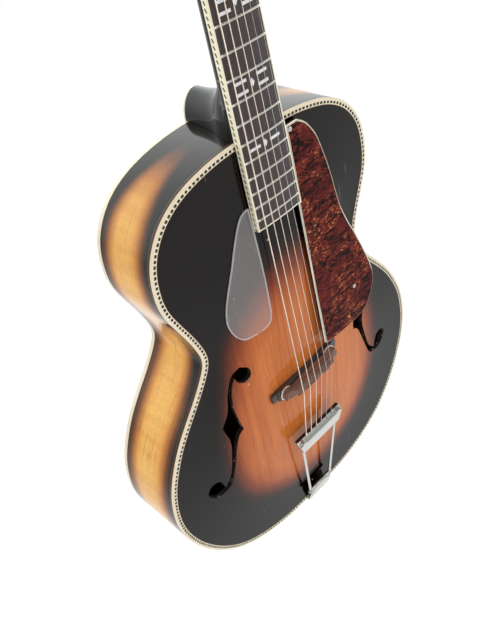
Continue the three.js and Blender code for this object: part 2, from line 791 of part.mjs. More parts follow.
// Flat in front and rounded behind; a low squareness power makes the back flat too.
function neckRing(halfWidth, depth, power, matrix) {
  return steps(0, Math.PI, shaftArcSteps).map((angle) => {
    const c = Math.cos(angle);
    const s = Math.max(Math.sin(angle), 0);
    const x = halfWidth * Math.sign(c) * Math.abs(c) ** power;
    return vector(x, depth * s ** power, 0).applyMatrix4(matrix);
  });
}

function neckBlank() {
  const shaftEnd = fretPlace(bodyFretCount) - (bodyLength - bodyFretHeight) - shaftEndGap;
  const rings = steps(shaftEnd, headThickness / 2, shaftSteps).map((along) => {
    const depth = lerp(shaftDepthNut, shaftDepthHeel, along / shaftEnd);
    return neckRing(boundHalf(along), depth, 1, new THREE.Matrix4().makeTranslation(0, neckTop, -along));
  });
  headHeightShares.forEach((share, i) => {
    const blend = smooth((share - headBlendShares[0]) / (headBlendShares[1] - headBlendShares[0]));
    const matrix = headPlace.clone().multiply(new THREE.Matrix4().makeTranslation(0, 0, share * headLength));
    const half = headHalfShares[i] * headHalfWidth;
    rings.push(neckRing(half, headThickness, lerp(1, headCornerShare, blend), matrix));
  });
  return loft(rings);
}

// The heel's outline at one depth: along the body's edge, then round the nose.
function heelRing(y, halfWidth, reach) {
  const across = steps(-halfWidth, halfWidth, heelSideSteps);
  const side = across.map((x) => vector(x, y, shoulderHeight(x) + fitGap));
  const nose = steps(0, Math.PI, heelNoseSteps)
    .slice(1, -1)
    .map((angle) => {
      const x = halfWidth * Math.cos(angle);
      return vector(x, y, shoulderHeight(halfWidth) + fitGap + reach * Math.sin(angle));
    });
  return [...side, ...nose];
}

const heelDepth = ribDepthNeck - heelCapThickness - fitGap;
const heelEnd = [
  heelHalfShares[heelHalfShares.length - 1] * heelHalfWidth,
  heelReachShares[heelReachShares.length - 1] * heelReach,
];

function heel() {
  const rings = heelDepthShares.map((share, i) =>
    heelRing(share * heelDepth, heelHalfShares[i] * heelHalfWidth, heelReachShares[i] * heelReach),
  );
  return loft(rings);
}

const neckPlace = new THREE.Matrix4()
  .makeTranslation(nutOrigin.x, nutOrigin.y, nutOrigin.z)
  .multiply(new THREE.Matrix4().makeRotationX(-neckAngle));

const postPlaces = steps(firstPost, firstPost + postSpacing * (sidePostCount - 1), sidePostCount - 1);

function neckWood() {
  const rodTop = neckTop - cutOverrun;
  const channel = box(
    vector(-trussChannelWidth / 2, rodTop, -trussRodLength - fitGap),
    vector(trussChannelWidth / 2, neckTop + trussRodDepth + trussRodRadius + fitGap, nutLength + cutOverrun),
  );
  const pocketFloor = neckTop + trussRodDepth + trussNutRadius + fitGap;
  const pocket = box(
    vector(-trussPocketWidth / 2, rodTop, nutLength),
    vector(trussPocketWidth / 2, pocketFloor, nutLength + trussPocketLength),
  );
  const bores = [-1, 1].flatMap((side) =>
    postPlaces.map((z) => {
      const bore = bar(postRadius + postBoreGap, -cutOverrun, headThickness + cutOverrun, postSides, "y");
      return bore.translate(side * postOffset, 0, z).applyMatrix4(headPlace);
    }),
  );
  const heelInNeck = heel().applyMatrix4(neckPlace.clone().invert());
  return without(joined(neckBlank(), heelInNeck), channel, pocket, ...bores);
}

function trussRod() {
  const nutStart = nutLength + fitGap;
  const nutEnd = nutStart + trussNutLength;
  const rod = bar(trussRodRadius, -trussRodLength, nutEnd - fitGap, keyShaftSides, "z");
  const adjuster = bar(trussNutRadius, nutStart, nutEnd, trussNutSides, "z");
  return joined(rod, adjuster).translate(0, neckTop + trussRodDepth, 0);
}

function trussRodCover() {
  const side = coverShares.map(([a, b]) => {
    return new THREE.Vector2(a * coverHalfWidth, coverSetback + b * coverLength);
  });
  const mirrored = [...side].reverse().map((p) => new THREE.Vector2(-p.x, p.y));
  return slab([...side, ...mirrored], -fitGap - coverThickness, coverThickness);
}

// Tuners in the headstock frame: the post stands on the face, and the gear turns behind the plate

const plateFront = headThickness + fitGap;
const plateBack = plateFront + tunerPlateThickness;
const gearFront = plateBack + gearPlateGap;
const gearMiddle = gearFront + gearWidth / 2;
const wormPitch = (2 * Math.PI * gearPitchRadius) / gearToothCount;
const wormLead = Math.atan(wormPitch / (2 * Math.PI * wormPitchRadius));
const wormHalf = lugOffset - lugThickness / 2 - fitGap;

// Twelve slanted teeth that follow the worm's lead.
function gear() {
  const [tip, root] = gearToothShares;
  const pitchAngle = (2 * Math.PI) / gearToothCount;
  const ring = (y) => {
    const twist = ((y - gearMiddle) * Math.tan(wormLead)) / gearPitchRadius;
    const points = [];
    for (let tooth = 0; tooth < gearToothCount; tooth++) {
      const middle = tooth * pitchAngle + twist;
      for (const [radius, share] of [
        [gearRootRadius, -root],
        [gearTipRadius, -tip],
        [gearTipRadius, tip],
        [gearRootRadius, root],
      ]) {
        const angle = middle + share * pitchAngle;
        points.push(vector(radius * Math.sin(angle), y, radius * Math.cos(angle)));
      }
    }
    return points;
  };
  return loft([ring(gearFront), ring(gearFront + gearWidth)]);
}

function post() {
  const capBase = -postHeight + postCapHeight;
  const profile = [
    [0, -postHeight],
    [postCapRadius, -postHeight],
    [postCapRadius, capBase],
    [postWaistRadius, capBase + (postCapRadius - postWaistRadius)],
    [postWaistRadius, -postCollarHeight],
    [postCollarRadius, -postCollarHeight],
    [postCollarRadius, -fitGap],
    [postRadius, -fitGap],
    [postRadius, gearFront + gearWidth + postTailLength],
    [0, gearFront + gearWidth + postTailLength],
  ];
  return joined(turned(profile, postSides, "y"), gear());
}

// One thread round the key's shaft, as a solid that winds inside the two collars.
function wormThread() {
  const [tip, root] = wormThreadShares;
  const count = Math.round(wormTurnCount * wormStepsPerTurn);
  const rings = steps(-wormTurnCount / 2, wormTurnCount / 2, count).map((turn) => {
    const angle = (turn - wormPhaseShare) * 2 * Math.PI;
    const point = (radius, offset) =>
      vector((turn + offset) * wormPitch, radius * Math.cos(angle), radius * Math.sin(angle));
    return [
      point(wormRootRadius / 2, -root),
      point(wormTipRadius, -tip),
      point(wormTipRadius, tip),
      point(wormRootRadius / 2, root),
    ];
  });
  return loft(rings);
}

function keyAxis(side, z) {
  return vector(side * postOffset, gearMiddle, z - gearCentreDistance);
}

// The key's shaft lies along X, with its worm at the origin between two collars.
function key(side) {
  const inner = lugOffset + lugThickness;
  const outer = buttonStart + buttonSocketDepth - fitGap - postOffset;
  const collar = wormHalf - wormCollarWidth;
  const profile = [
    [0, -inner],
    [keyShaftRadius, -inner],
    [keyShaftRadius, -wormHalf],
    [wormCollarRadius, -wormHalf],
    [wormCollarRadius, -collar],
    [wormRootRadius, -collar],
    [wormRootRadius, collar],
    [wormCollarRadius, collar],
    [wormCollarRadius, wormHalf],
    [keyShaftRadius, wormHalf],
    [keyShaftRadius, outer],
    [0, outer],
  ];
  const sided = side > 0 ? profile : profile.map(([r, at]) => [r, -at]).reverse();
  return joined(turned(sided, keyShaftSides, "x"), wormThread());
}

function button(side) {
  const start = buttonStart - postOffset;
  const rings = buttonRingShares.map(([along, size]) => {
    const x = side * (start + along * buttonLength);
    return steps(0, 2 * Math.PI, buttonSides)
      .slice(0, -1)
      .map((angle) =>
        vector(x, buttonHalfThickness * size * Math.cos(angle), buttonHalfHeight * size * Math.sin(angle)),
      );
  });
  const ends = [side * (start - cutOverrun), side * (start + buttonSocketDepth)].sort((a, b) => a - b);
  const socket = bar(keyShaftRadius + keyBoreGap, ends[0], ends[1], keyShaftSides, "x");
  return without(loft(rings), socket);
}

function tunerPlate(side) {
  const low = postPlaces[0] - tunerPlateOverhang;
  const high = postPlaces[sidePostCount - 1] + tunerPlateOverhang;
  const middle = side * postOffset;
  const strip = box(
    vector(middle - tunerPlateHalf, plateFront, low),
    vector(middle + tunerPlateHalf, plateBack, high),
  );
  const lugs = postPlaces.flatMap((z) =>
    [-1, 1].map((end) => {
      const axis = keyAxis(side, z);
      const x = axis.x + end * lugOffset;
      const foot = vector(x - lugThickness / 2, plateBack - tunerPlateThickness / 2, axis.z - lugHalfHeight);
      return box(foot, vector(x + lugThickness / 2, axis.y + lugHalfHeight, axis.z + lugHalfHeight));
    }),
  );
  const bores = postPlaces.flatMap((z) => {
    const axis = keyAxis(side, z);
    const reach = lugOffset + lugThickness + cutOverrun;
    const across = bar(keyShaftRadius + keyBoreGap, -reach, reach, keyShaftSides, "x");
    const [low, high] = [plateFront - cutOverrun, plateBack + cutOverrun];
    const hole = bar(postRadius + postBoreGap, low, high, postSides, "y");
    return [across.translate(axis.x, axis.y, axis.z), hole.translate(middle, 0, z)];
  });
  return without(joined(strip, ...lugs), ...bores);
}

function buildNeck(part) {
  const neck = new THREE.Group();
  neck.position.copy(nutOrigin);
  neck.rotation.x = -neckAngle;
  part.add(neck);
  place(neck, "neck", neckWood(), finish.blackLacquer);
  place(neck, "fingerboard", fingerboard(), finish.rosewood);
  place(neck, "fingerboard_binding", boardBinding(), finish.ivory);
  place(neck, "nut", nut(), finish.bone);
  place(neck, "truss_rod", trussRod(), finish.steel);
  const capRings = [ribDepthNeck - heelCapThickness, ribDepthNeck].map((y) => heelRing(y, ...heelEnd));
  place(part, "heel_cap", loft(capRings), finish.ivory);

  const head = new THREE.Group();
  head.position.set(0, neckTop, nutLength);
  head.rotation.x = -headAngle;
  neck.add(head);
  place(head, "truss_rod_cover", trussRodCover(), finish.blackLacquer);
  for (const [word, side] of [["bass", -1], ["treble", 1]]) {
    place(head, `tuner_plate_${word}`, tunerPlate(side), finish.nickel);
    postPlaces.forEach((z, i) => {
      const name = `${word}_${i + 1}`;
      place(head, `tuner_post_${name}`, post(), finish.nickel).position.set(side * postOffset, 0, z);
      const keyGroup = new THREE.Group();
      keyGroup.position.copy(keyAxis(side, z));
      head.add(keyGroup);
      place(keyGroup, `tuner_key_${name}`, key(side), finish.nickel);
      place(keyGroup, `tuner_button_${name}`, button(side), finish.ivory);
    });
  }
}

// Bridge frame: the origin is on the top's edge plane under the saddle's middle, and +X is the treble end

const bridgeHeight = nutOrigin.z - scaleLength * Math.cos(neckAngle);
const saddleStringHeight = scaleLength * Math.sin(neckAngle) - nutOrigin.y + saddleAction;
const studReach = saddleStringHeight - baseTop - studCover;
const bridgeSlant = radians(bridgeSlantDeg);
const baseTopPlane = -baseTop;
const wheelBack = baseTopPlane - fitGap;
const wheelFront = wheelBack - wheelThickness;
const saddleFoot = wheelFront - fitGap;

// The plate's surface under a place in the bridge frame.
function topUnderBridge(x, z) {
  const turnedX = x * Math.cos(bridgeSlant) - z * Math.sin(bridgeSlant);
  const turnedZ = x * Math.sin(bridgeSlant) + z * Math.cos(bridgeSlant);
  return topSurface(turnedX, bridgeHeight + turnedZ);
}

function baseRing(x, halfWidth, top) {
  const seat = (z) => topUnderBridge(x, z) - fitGap - facetAllowance;
  return [
    vector(x, seat(-halfWidth), -halfWidth),
    vector(x, seat(halfWidth), halfWidth),
    vector(x, top, halfWidth),
    vector(x, top, -halfWidth),
  ];
}

function bridgeBase() {
  const stations = steps(-baseTipHalf, baseTipHalf, baseSteps);
  const tip = (side) => [baseTipHalf + saddleStepLength, baseHalfLength].map((x) => side * x);
  const low = baseTopPlane + baseTipDrop;
  const rings = [
    ...tip(-1).reverse().map((x) => baseRing(x, baseTipWidth / 2, low)),
    ...stations.map((x) => baseRing(x, baseWidth / 2, baseTopPlane)),
    ...tip(1).map((x) => baseRing(x, baseTipWidth / 2, low)),
  ];
  const seats = [-1, 1].map((side) => {
    const [low, high] = [baseTopPlane - cutOverrun, baseTopPlane + studSeatDepth];
    const hole = bar(studRadius + fitGap, low, high, studSides, "y");
    return hole.translate(side * studOffset, 0, 0);
  });
  return without(loft(rings), ...seats);
}

function stud() {
  return bar(studRadius, baseTopPlane - studReach, baseTopPlane + studSeatDepth - fitGap, studSides, "y");
}

function thumbwheel() {
  const bore = studRadius + fitGap;
  const profile = [
    [bore, wheelFront],
    [wheelRadius - wheelBevel, wheelFront],
    [wheelRadius, wheelFront + wheelBevel],
    [wheelRadius, wheelBack - wheelBevel],
    [wheelRadius - wheelBevel, wheelBack],
    [bore, wheelBack],
    [bore, wheelFront],
  ];
  return turned(profile, wheelSides, "y");
}

// Height of a string's middle above the saddle's foot plane, and of the wood that carries it
function stringDepthAtSaddle(i) {
  const share = (2 * stringAcross(stringSpanSaddle, i)) / stringSpanSaddle;
  return -saddleStringHeight - saddleCrown * (1 - share ** 2);
}

function saddleRing(x, crest, middle) {
  const half = saddleWidth / 2;
  const rise = saddleArchRise * smooth((saddleArchHalf - Math.abs(x)) / (saddleArchHalf / 2));
  const flank = lerp(crest, saddleFoot, saddleFlankDropShare);
  const halfCrest = saddleCrestLength / 2;
  return [
    vector(x, saddleFoot + rise, -half),
    vector(x, saddleFoot + rise, half),
    vector(x, flank, half * saddleFlankShare),
    vector(x, crest, middle + halfCrest),
    vector(x, crest, middle - halfCrest),
    vector(x, flank, -half * saddleFlankShare),
  ];
}

function bridgeSaddle() {
  const spacing = stringSpanSaddle / (stringCount - 1);
  const crestUnder = (i) => stringDepthAtSaddle(i) + stringDiameters[i] / 2 + fitGap;
  const rings = [];
  const ends = (side, i) =>
    saddleEndShares.map(([share, drop]) => {
      return saddleRing(side * share * saddleHalfLength, lerp(crestUnder(i), saddleFoot, drop), 0);
    });
  rings.push(...ends(-1, 0).reverse());
  saddleCrests.forEach((middle, i) => {
    const x = stringAcross(stringSpanSaddle, i);
    const half = (spacing - saddleStepLength) / 2;
    rings.push(saddleRing(x - half, crestUnder(i), middle), saddleRing(x + half, crestUnder(i), middle));
  });
  rings.push(...ends(1, stringCount - 1));
  const top = baseTopPlane - studReach - fitGap;
  const sockets = [-1, 1].map((side) => {
    const hole = bar(studRadius + fitGap, top, saddleFoot + cutOverrun, studSides, "y");
    return hole.translate(side * studOffset, 0, 0);
  });
  return without(loft(rings), ...sockets);
}

function buildBridge(part) {
  const bridge = new THREE.Group();
  bridge.position.set(0, 0, bridgeHeight);
  bridge.rotation.y = -bridgeSlant;
  part.add(bridge);
  place(bridge, "bridge_base", bridgeBase(), finish.rosewood);
  place(bridge, "bridge_saddle", bridgeSaddle(), finish.rosewood);
  for (const [word, side] of [["bass", -1], ["treble", 1]]) {
    place(bridge, `bridge_stud_${word}`, stud(), finish.nickel).position.x = side * studOffset;
    place(bridge, `thumbwheel_${word}`, thumbwheel(), finish.nickel).position.x = side * studOffset;
  }
}

// Tailpiece frame: the origin is the hinge axis, and +Z runs along the strings to the saddle

const tailpieceAngle = Math.atan((saddleStringHeight - hingeLift) / (bridgeHeight - hingeHeight));

const barNeckEdge = bridgeHeight - hingeHeight - barBridgeGap;
const barTailEdge = barNeckEdge - barLength;

function trapezeBar() {
  const outline = (inset) => {
    const tail = barTailEdge + inset;
    const neck = barNeckEdge - inset;
    return [
      new THREE.Vector2(-barTailHalf + inset, tail),
      new THREE.Vector2(barTailHalf - inset, tail),
      new THREE.Vector2(barNeckHalf - inset, neck),
      new THREE.Vector2(-barNeckHalf + inset, neck),
    ];
  };
  const front = -barFaceLift - barWall;
  const outer = slab(outline(0), front, barSkirt - front);
  const inner = slab(outline(barWall), -barFaceLift, barFaceLift + barSkirt + cutOverrun);
  const slots = stringDiameters.map((diameter, i) => {
    const x = stringAcross(stringSpanTail, i);
    const clear = diameter / 2 + barSlotClearance;
    const low = vector(x - clear, -clear, barNeckEdge - barWall - cutOverrun);
    return box(low, vector(x + clear, barSkirt + cutOverrun, barNeckEdge + cutOverrun));
  });
  const earPlace = barNeckEdge - earRadius + earReach;
  const ears = [-1, 1].map((side) =>
    bar(earRadius, front, barSkirt, earSides, "y").translate(side * earOffset, 0, earPlace),
  );
  return joined(without(outer, inner, ...slots), ...ears);
}

function trapezeLeg(side) {
  const ring = (x, z) => [
    vector(x - legWidth / 2, -legThickness / 2, z),
    vector(x + legWidth / 2, -legThickness / 2, z),
    vector(x + legWidth / 2, legThickness / 2, z),
    vector(x - legWidth / 2, legThickness / 2, z),
  ];
  return loft([ring(side * legBottomOffset, 0), ring(side * legTopOffset, barTailEdge + barWall / 2)]);
}

function trapeze() {
  const knuckles = [
    bar(hingeRadius, -hingeHalfLength, -hingeMiddleHalf - fitGap, hingeSides, "x"),
    bar(hingeRadius, hingeMiddleHalf + fitGap, hingeHalfLength, hingeSides, "x"),
  ];
  const frame = joined(trapezeBar(), trapezeLeg(-1), trapezeLeg(1), ...knuckles);
  return without(frame, hingeBore());
}

function hingeBore() {
  const reach = hingeHalfLength + cutOverrun;
  return bar(hingeBoreRadius, -reach, reach, hingeSides, "x");
}

function hingePin() {
  const head = hingeHalfLength + fitGap;
  const far = head + hingeHeadLength;
  const profile = [
    [0, -far],
    [hingeHeadRadius, -far],
    [hingeHeadRadius, -head],
    [hingePinRadius, -head],
    [hingePinRadius, head],
    [hingeHeadRadius, head],
    [hingeHeadRadius, far],
    [0, far],
  ];
  return turned(profile, hingeSides, "x");
}

// A bent strap: its middle line in the plane of symmetry, with a half width at each point.
function strap(line, halfWidths, thickness) {
  const rings = line.map((p, i) => {
    const before = line[Math.max(i - 1, 0)];
    const after = line[Math.min(i + 1, line.length - 1)];
    const along = after.clone().sub(before).normalize();
    const off = new THREE.Vector2(-along.y, along.x).multiplyScalar(thickness / 2);
    const half = halfWidths[i];
    return [
      vector(-half, p.x - off.x, p.y - off.y),
      vector(half, p.x - off.x, p.y - off.y),
      vector(half, p.x + off.x, p.y + off.y),
      vector(-half, p.x + off.x, p.y + off.y),
    ];
  });
  return loft(rings);
}

// The bracket runs from the middle knuckle, over the edge of the top and down the tail to the end pin.
function tailBracket() {
  const wall = -fitGap - bracketThickness / 2;
  const bendCentre = new THREE.Vector2(0, wall + bracketBendRadius);
  const neckEnd = hingeHeight - hingeRadius - bracketNeckLength / 2;
  const bend = steps(0, quarterTurn, bracketBendSteps).map(
    (angle) =>
      new THREE.Vector2(
        bendCentre.x - bracketBendRadius * Math.cos(angle),
        bendCentre.y - bracketBendRadius * Math.sin(angle),
      ),
  );
  const line = [
    new THREE.Vector2(-hingeLift, hingeHeight),
    new THREE.Vector2(-hingeLift, neckEnd),
    new THREE.Vector2(-hingeLift, neckEnd - bracketNeckLength / 2),
    ...bend,
    new THREE.Vector2(pinCentre, wall),
    new THREE.Vector2(bracketFootDepth, wall),
  ];
  const wide = bend.map(() => bracketTopHalf);
  const halves = [hingeMiddleHalf, hingeMiddleHalf, bracketTopHalf, ...wide, bracketTopHalf, bracketFootHalf];
  const knuckle = bar(hingeRadius, -hingeMiddleHalf, hingeMiddleHalf, hingeSides, "x");
  const bore = hingeBore().translate(0, -hingeLift, hingeHeight);
  const leaf = joined(strap(line, halves, bracketThickness), knuckle.translate(0, -hingeLift, hingeHeight));
  return without(leaf, bore, pinHole(cutOverrun));
}

function buildTailpiece(part) {
  const tailpiece = new THREE.Group();
  tailpiece.position.set(0, -hingeLift, hingeHeight);
  tailpiece.rotation.x = tailpieceAngle;
  part.add(tailpiece);
  place(tailpiece, "tailpiece_trapeze", trapeze(), finish.nickel);
  place(tailpiece, "tailpiece_hinge_pin", hingePin(), finish.steel);
  place(part, "tailpiece_bracket", tailBracket(), finish.nickel);
}

// Guards

const guardTop = bodyLength - guardSetback;
const guardLow = bridgeHeight + guardBridgeGap;
const guardLength = guardTop - guardLow;
const guardPostHeight = guardLow + guardPostRise;
const guardFront = (z) => -guardNeckLift - (guardTop - z) * guardSlopeShare;

function pickguard() {
  const boardSide = (z) => boundHalf((nutOrigin.z - z) / Math.cos(neckAngle)) + guardBoardGap;
  const stepHeight = nutOrigin.z - (boardEnd + boardBindingWidth + guardBoardGap) * Math.cos(neckAngle);
  const inner = [
    new THREE.Vector2(boardSide(guardTop), guardTop),
    new THREE.Vector2(boardSide(stepHeight), stepHeight),
    new THREE.Vector2(guardInner, stepHeight),
  ];
  const points = guardShares.map(([a, b]) => [guardInner + a * guardWidth, guardLow + b * guardLength]);
  const outline = [...smoothLine(points, guardSteps), ...inner];
  const face = (depth) => outline.map((p) => vector(p.x, guardFront(p.y) + depth, p.y));
  return loft([0, guardThickness].map(face));
}

function guardBracket() {
  const xs = [guardPostOffset - guardPostHalf, guardPostOffset + guardPostHalf];
  const zs = [guardPostHeight - guardPostHalf, guardPostHeight + guardPostHalf];
  const corners = [[xs[0], zs[0]], [xs[1], zs[0]], [xs[1], zs[1]], [xs[0], zs[1]]];
  const upper = corners.map(([x, z]) => vector(x, guardFront(z) + guardThickness + fitGap, z));
  const lower = corners.map(([x, z]) => vector(x, topSurface(x, z) - fitGap - facetAllowance, z));
  return loft([upper, lower]);
}

function clearGuard() {
  const clearGuardLow = bodyLength - clearGuardSetback - clearGuardLength;
  const seat = (x, z) => topSurface(x, z) - fitGap - facetAllowance;
  const rings = clearGuardShares.map(([height, inner, outer]) => {
    const z = clearGuardLow + height * clearGuardLength;
    const edges = [inner, outer].map((share) => -clearGuardInner - share * clearGuardWidth);
    const row = steps(edges[0], edges[1], clearGuardSteps);
    const under = row.map((x) => vector(x, seat(x, z), z));
    const over = row.map((x) => vector(x, seat(x, z) - clearGuardThickness, z));
    return [...under, ...over.reverse()];
  });
  return loft(rings);
}

function buildGuards(part) {
  place(part, "pickguard", pickguard(), finish.tortoise);
  place(part, "pickguard_bracket", guardBracket(), finish.nickel);
  place(part, "clear_guard", clearGuard(), finish.clear);
}

// Strings: one tube from the ball in the tailpiece over the saddle and the nut to its turns round the post

const tailPlace = new THREE.Matrix4()
  .makeTranslation(0, -hingeLift, hingeHeight)
  .multiply(new THREE.Matrix4().makeRotationX(tailpieceAngle));
const bridgePlace = new THREE.Matrix4()
  .makeTranslation(0, 0, bridgeHeight)
  .multiply(new THREE.Matrix4().makeRotationY(-bridgeSlant));

// The turns round a post in the headstock frame, from where the string first touches its circle.
function winding(i, start) {
  const diameter = stringDiameters[i];
  const side = i < sidePostCount ? -1 : 1;
  const row = side < 0 ? i : stringCount - 1 - i;
  const centre = new THREE.Vector2(side * postOffset, postPlaces[row]);
  const radius = postWaistRadius + windingPostGap + diameter / 2;
  const pitch = diameter + windingGap;
  const reach = centre.clone().sub(new THREE.Vector2(start.x, start.z));
  const heading = reach.angle() + side * Math.asin(radius / reach.length());
  const first = heading + side * quarterTurn;
  const top = -postCollarHeight - windingFootGap - diameter / 2 - windingTurnCount * pitch;
  return steps(0, windingTurnCount, windingTurnCount * windingSteps).map((turn) => {
    const angle = first - side * turn * 2 * Math.PI;
    const x = centre.x + radius * Math.cos(angle);
    return vector(x, top + turn * pitch, centre.y + radius * Math.sin(angle));
  });
}

// The least gap between one turn and the next, measured between the tube's middle points.
function leastGap(turns, diameter) {
  let least = Infinity;
  turns.forEach((p, a) => {
    for (let b = a + windingSteps / 2; b < turns.length; b++) {
      least = Math.min(least, p.distanceTo(turns[b]) - diameter);
    }
  });
  return least;
}

// A tube with flat sides whose rings turn as little as they can along the line.
function tube(line, radius, sides) {
  let across = vector(1, 0, 0);
  const rings = line.map((p, i) => {
    const before = line[Math.max(i - 1, 0)];
    const after = line[Math.min(i + 1, line.length - 1)];
    const along = after.clone().sub(before).normalize();
    across = across.clone().addScaledVector(along, -across.dot(along)).normalize();
    const other = vector().crossVectors(along, across);
    return steps(0, 2 * Math.PI, sides)
      .slice(0, -1)
      .map((angle) =>
        p
          .clone()
          .addScaledVector(across, radius * Math.cos(angle))
          .addScaledVector(other, radius * Math.sin(angle)),
      );
  });
  return loft(rings);
}

function string(i) {
  const diameter = stringDiameters[i];
  const ballPlace = barNeckEdge - barWall - fitGap - ballRadius;
  const tail = vector(stringAcross(stringSpanTail, i), 0, ballPlace).applyMatrix4(tailPlace);
  const saddleX = stringAcross(stringSpanSaddle, i);
  const saddle = vector(saddleX, stringDepthAtSaddle(i), saddleCrests[i]).applyMatrix4(bridgePlace);
  const atNut = vector(stringAcross(stringSpanNut, i), stringDepthAtNut(i), nutLength);
  const nutPoint = atNut.clone().applyMatrix4(neckPlace);
  const turns = winding(i, atNut.clone().applyMatrix4(headPlace.clone().invert()));
  console.log(`string ${i + 1}: least gap between turns ${leastGap(turns, diameter).toFixed(2)} mm`);
  const headWorld = neckPlace.clone().multiply(headPlace);
  const wound = turns.map((p) => p.applyMatrix4(headWorld));
  const ball = bar(ballRadius, -ballLength / 2, ballLength / 2, ballSides, "x");
  const wire = tube([tail, saddle, nutPoint, ...wound], diameter / 2, stringSides);
  return joined(ball.translate(tail.x, tail.y, tail.z), wire);
}

function buildStrings(part) {
  stringDiameters.forEach((_, i) => {
    place(part, `string_${i + 1}`, string(i), i < stringCount - 2 ? finish.bronze : finish.steel);
  });
}

const part = new THREE.Group();
part.position.set(0, -pinCentre, pinReach);
buildBody(part);
buildNeck(part);
buildBridge(part);
buildTailpiece(part);
buildGuards(part);
buildStrings(part);

export default part;
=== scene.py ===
# %% [markdown]
# An arched-top guitar, dressed piece by piece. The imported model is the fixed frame: it says where every
# piece sits and what moves with what. This script gives those pieces their fine surfaces, their small parts
# and their finishes. Lengths are metres. +Z runs up the neck, the arched top faces -Y and the treble side
# is +X.

# %% Load the frame
import math

import bmesh
import bpy
import numpy as np
from mathutils import Matrix, Vector


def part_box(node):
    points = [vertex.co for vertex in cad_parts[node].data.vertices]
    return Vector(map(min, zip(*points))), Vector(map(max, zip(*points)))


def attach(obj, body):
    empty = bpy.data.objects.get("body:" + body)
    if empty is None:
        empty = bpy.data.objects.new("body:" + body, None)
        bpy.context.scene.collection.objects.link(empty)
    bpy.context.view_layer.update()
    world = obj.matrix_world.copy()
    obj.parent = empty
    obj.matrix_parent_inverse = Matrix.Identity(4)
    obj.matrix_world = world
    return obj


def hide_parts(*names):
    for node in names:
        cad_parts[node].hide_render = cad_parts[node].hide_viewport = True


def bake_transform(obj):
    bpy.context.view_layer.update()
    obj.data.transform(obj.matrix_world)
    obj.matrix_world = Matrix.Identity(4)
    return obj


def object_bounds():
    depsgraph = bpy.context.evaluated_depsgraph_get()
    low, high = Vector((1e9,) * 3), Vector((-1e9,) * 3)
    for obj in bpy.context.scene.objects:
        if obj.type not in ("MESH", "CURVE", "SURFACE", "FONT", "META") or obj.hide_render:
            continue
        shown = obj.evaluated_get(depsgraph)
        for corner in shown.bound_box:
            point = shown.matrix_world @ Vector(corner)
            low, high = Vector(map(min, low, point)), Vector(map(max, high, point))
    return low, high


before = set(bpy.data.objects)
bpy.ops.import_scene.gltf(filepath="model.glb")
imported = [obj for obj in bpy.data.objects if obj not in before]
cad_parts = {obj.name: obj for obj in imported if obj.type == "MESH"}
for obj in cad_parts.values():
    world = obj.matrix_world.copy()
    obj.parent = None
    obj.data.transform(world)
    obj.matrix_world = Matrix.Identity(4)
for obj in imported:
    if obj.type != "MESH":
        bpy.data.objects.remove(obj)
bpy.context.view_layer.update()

# %% [markdown]
# The camera stands above the guitar's bass shoulder and looks down the top. Its place and direction were
# solved from the frets, the body's edge and the bridge, so the frame's pieces fall where the picture shows
# them.

# %% Camera
EYE = Vector((-0.359812, -0.440943, 0.782570))
LOOK = Vector((0.455504, 0.607939, -0.650328))
UP = Vector((0.559603, 0.372606, 0.740277))
IMAGE_HEIGHT = 640
FOCAL_PIXELS = 692.77
SENSOR = 36


def set_camera():
    camera = bpy.data.objects.new("camera", bpy.data.cameras.new("camera"))
    bpy.context.scene.collection.objects.link(camera)
    right = LOOK.cross(UP).normalized()
    turn = Matrix((right, right.cross(LOOK).normalized(), -LOOK.normalized())).transposed()
    camera.matrix_world = Matrix.Translation(EYE) @ turn.to_4x4()
    camera.data.sensor_width = SENSOR
    camera.data.lens = FOCAL_PIXELS / IMAGE_HEIGHT * SENSOR
    camera.data.clip_start = 0.01
    bpy.context.scene.camera = camera
    print("lens", round(camera.data.lens, 2), "mm")


set_camera()

# %% [markdown]
# The light is a bright studio. Panels to the left, above and to the right light the top. The room itself
# grows brighter towards its high back wall, so that the ribs' lacquer shows one long reflection without
# edges. The camera itself sees plain white.

# %% Studio
PANELS = {
    "window_left": dict(place=(-1.5, -1.7, 1.3), size=(1.5, 1.7), watts=18),
    "window_high": dict(place=(0.5, -1.5, 2.2), size=(1.2, 0.8), watts=14),
    "window_right": dict(place=(1.8, -0.9, 0.9), size=(0.7, 1.6), watts=7.5),
}
AIM = Vector((0, 0, 0.3))
FLOOR_DROP = 0.34
FLOOR_HALF = 4.0
ROOM_TINT = (0.96, 1.0, 0.99)
ROOM_BASE = 0.25
ROOM_GLOW = 3.4
GLOW_BACK = (0.25, 0.75)
GLOW_HEIGHT = (-0.6, 0.6)


def brightening(tree, socket, low, high):
    ramp = tree.nodes.new("ShaderNodeMapRange")
    ramp.interpolation_type = "SMOOTHSTEP"
    ramp.inputs["From Min"].default_value = low
    ramp.inputs["From Max"].default_value = high
    tree.links.new(socket, ramp.inputs["Value"])
    return ramp.outputs[0]


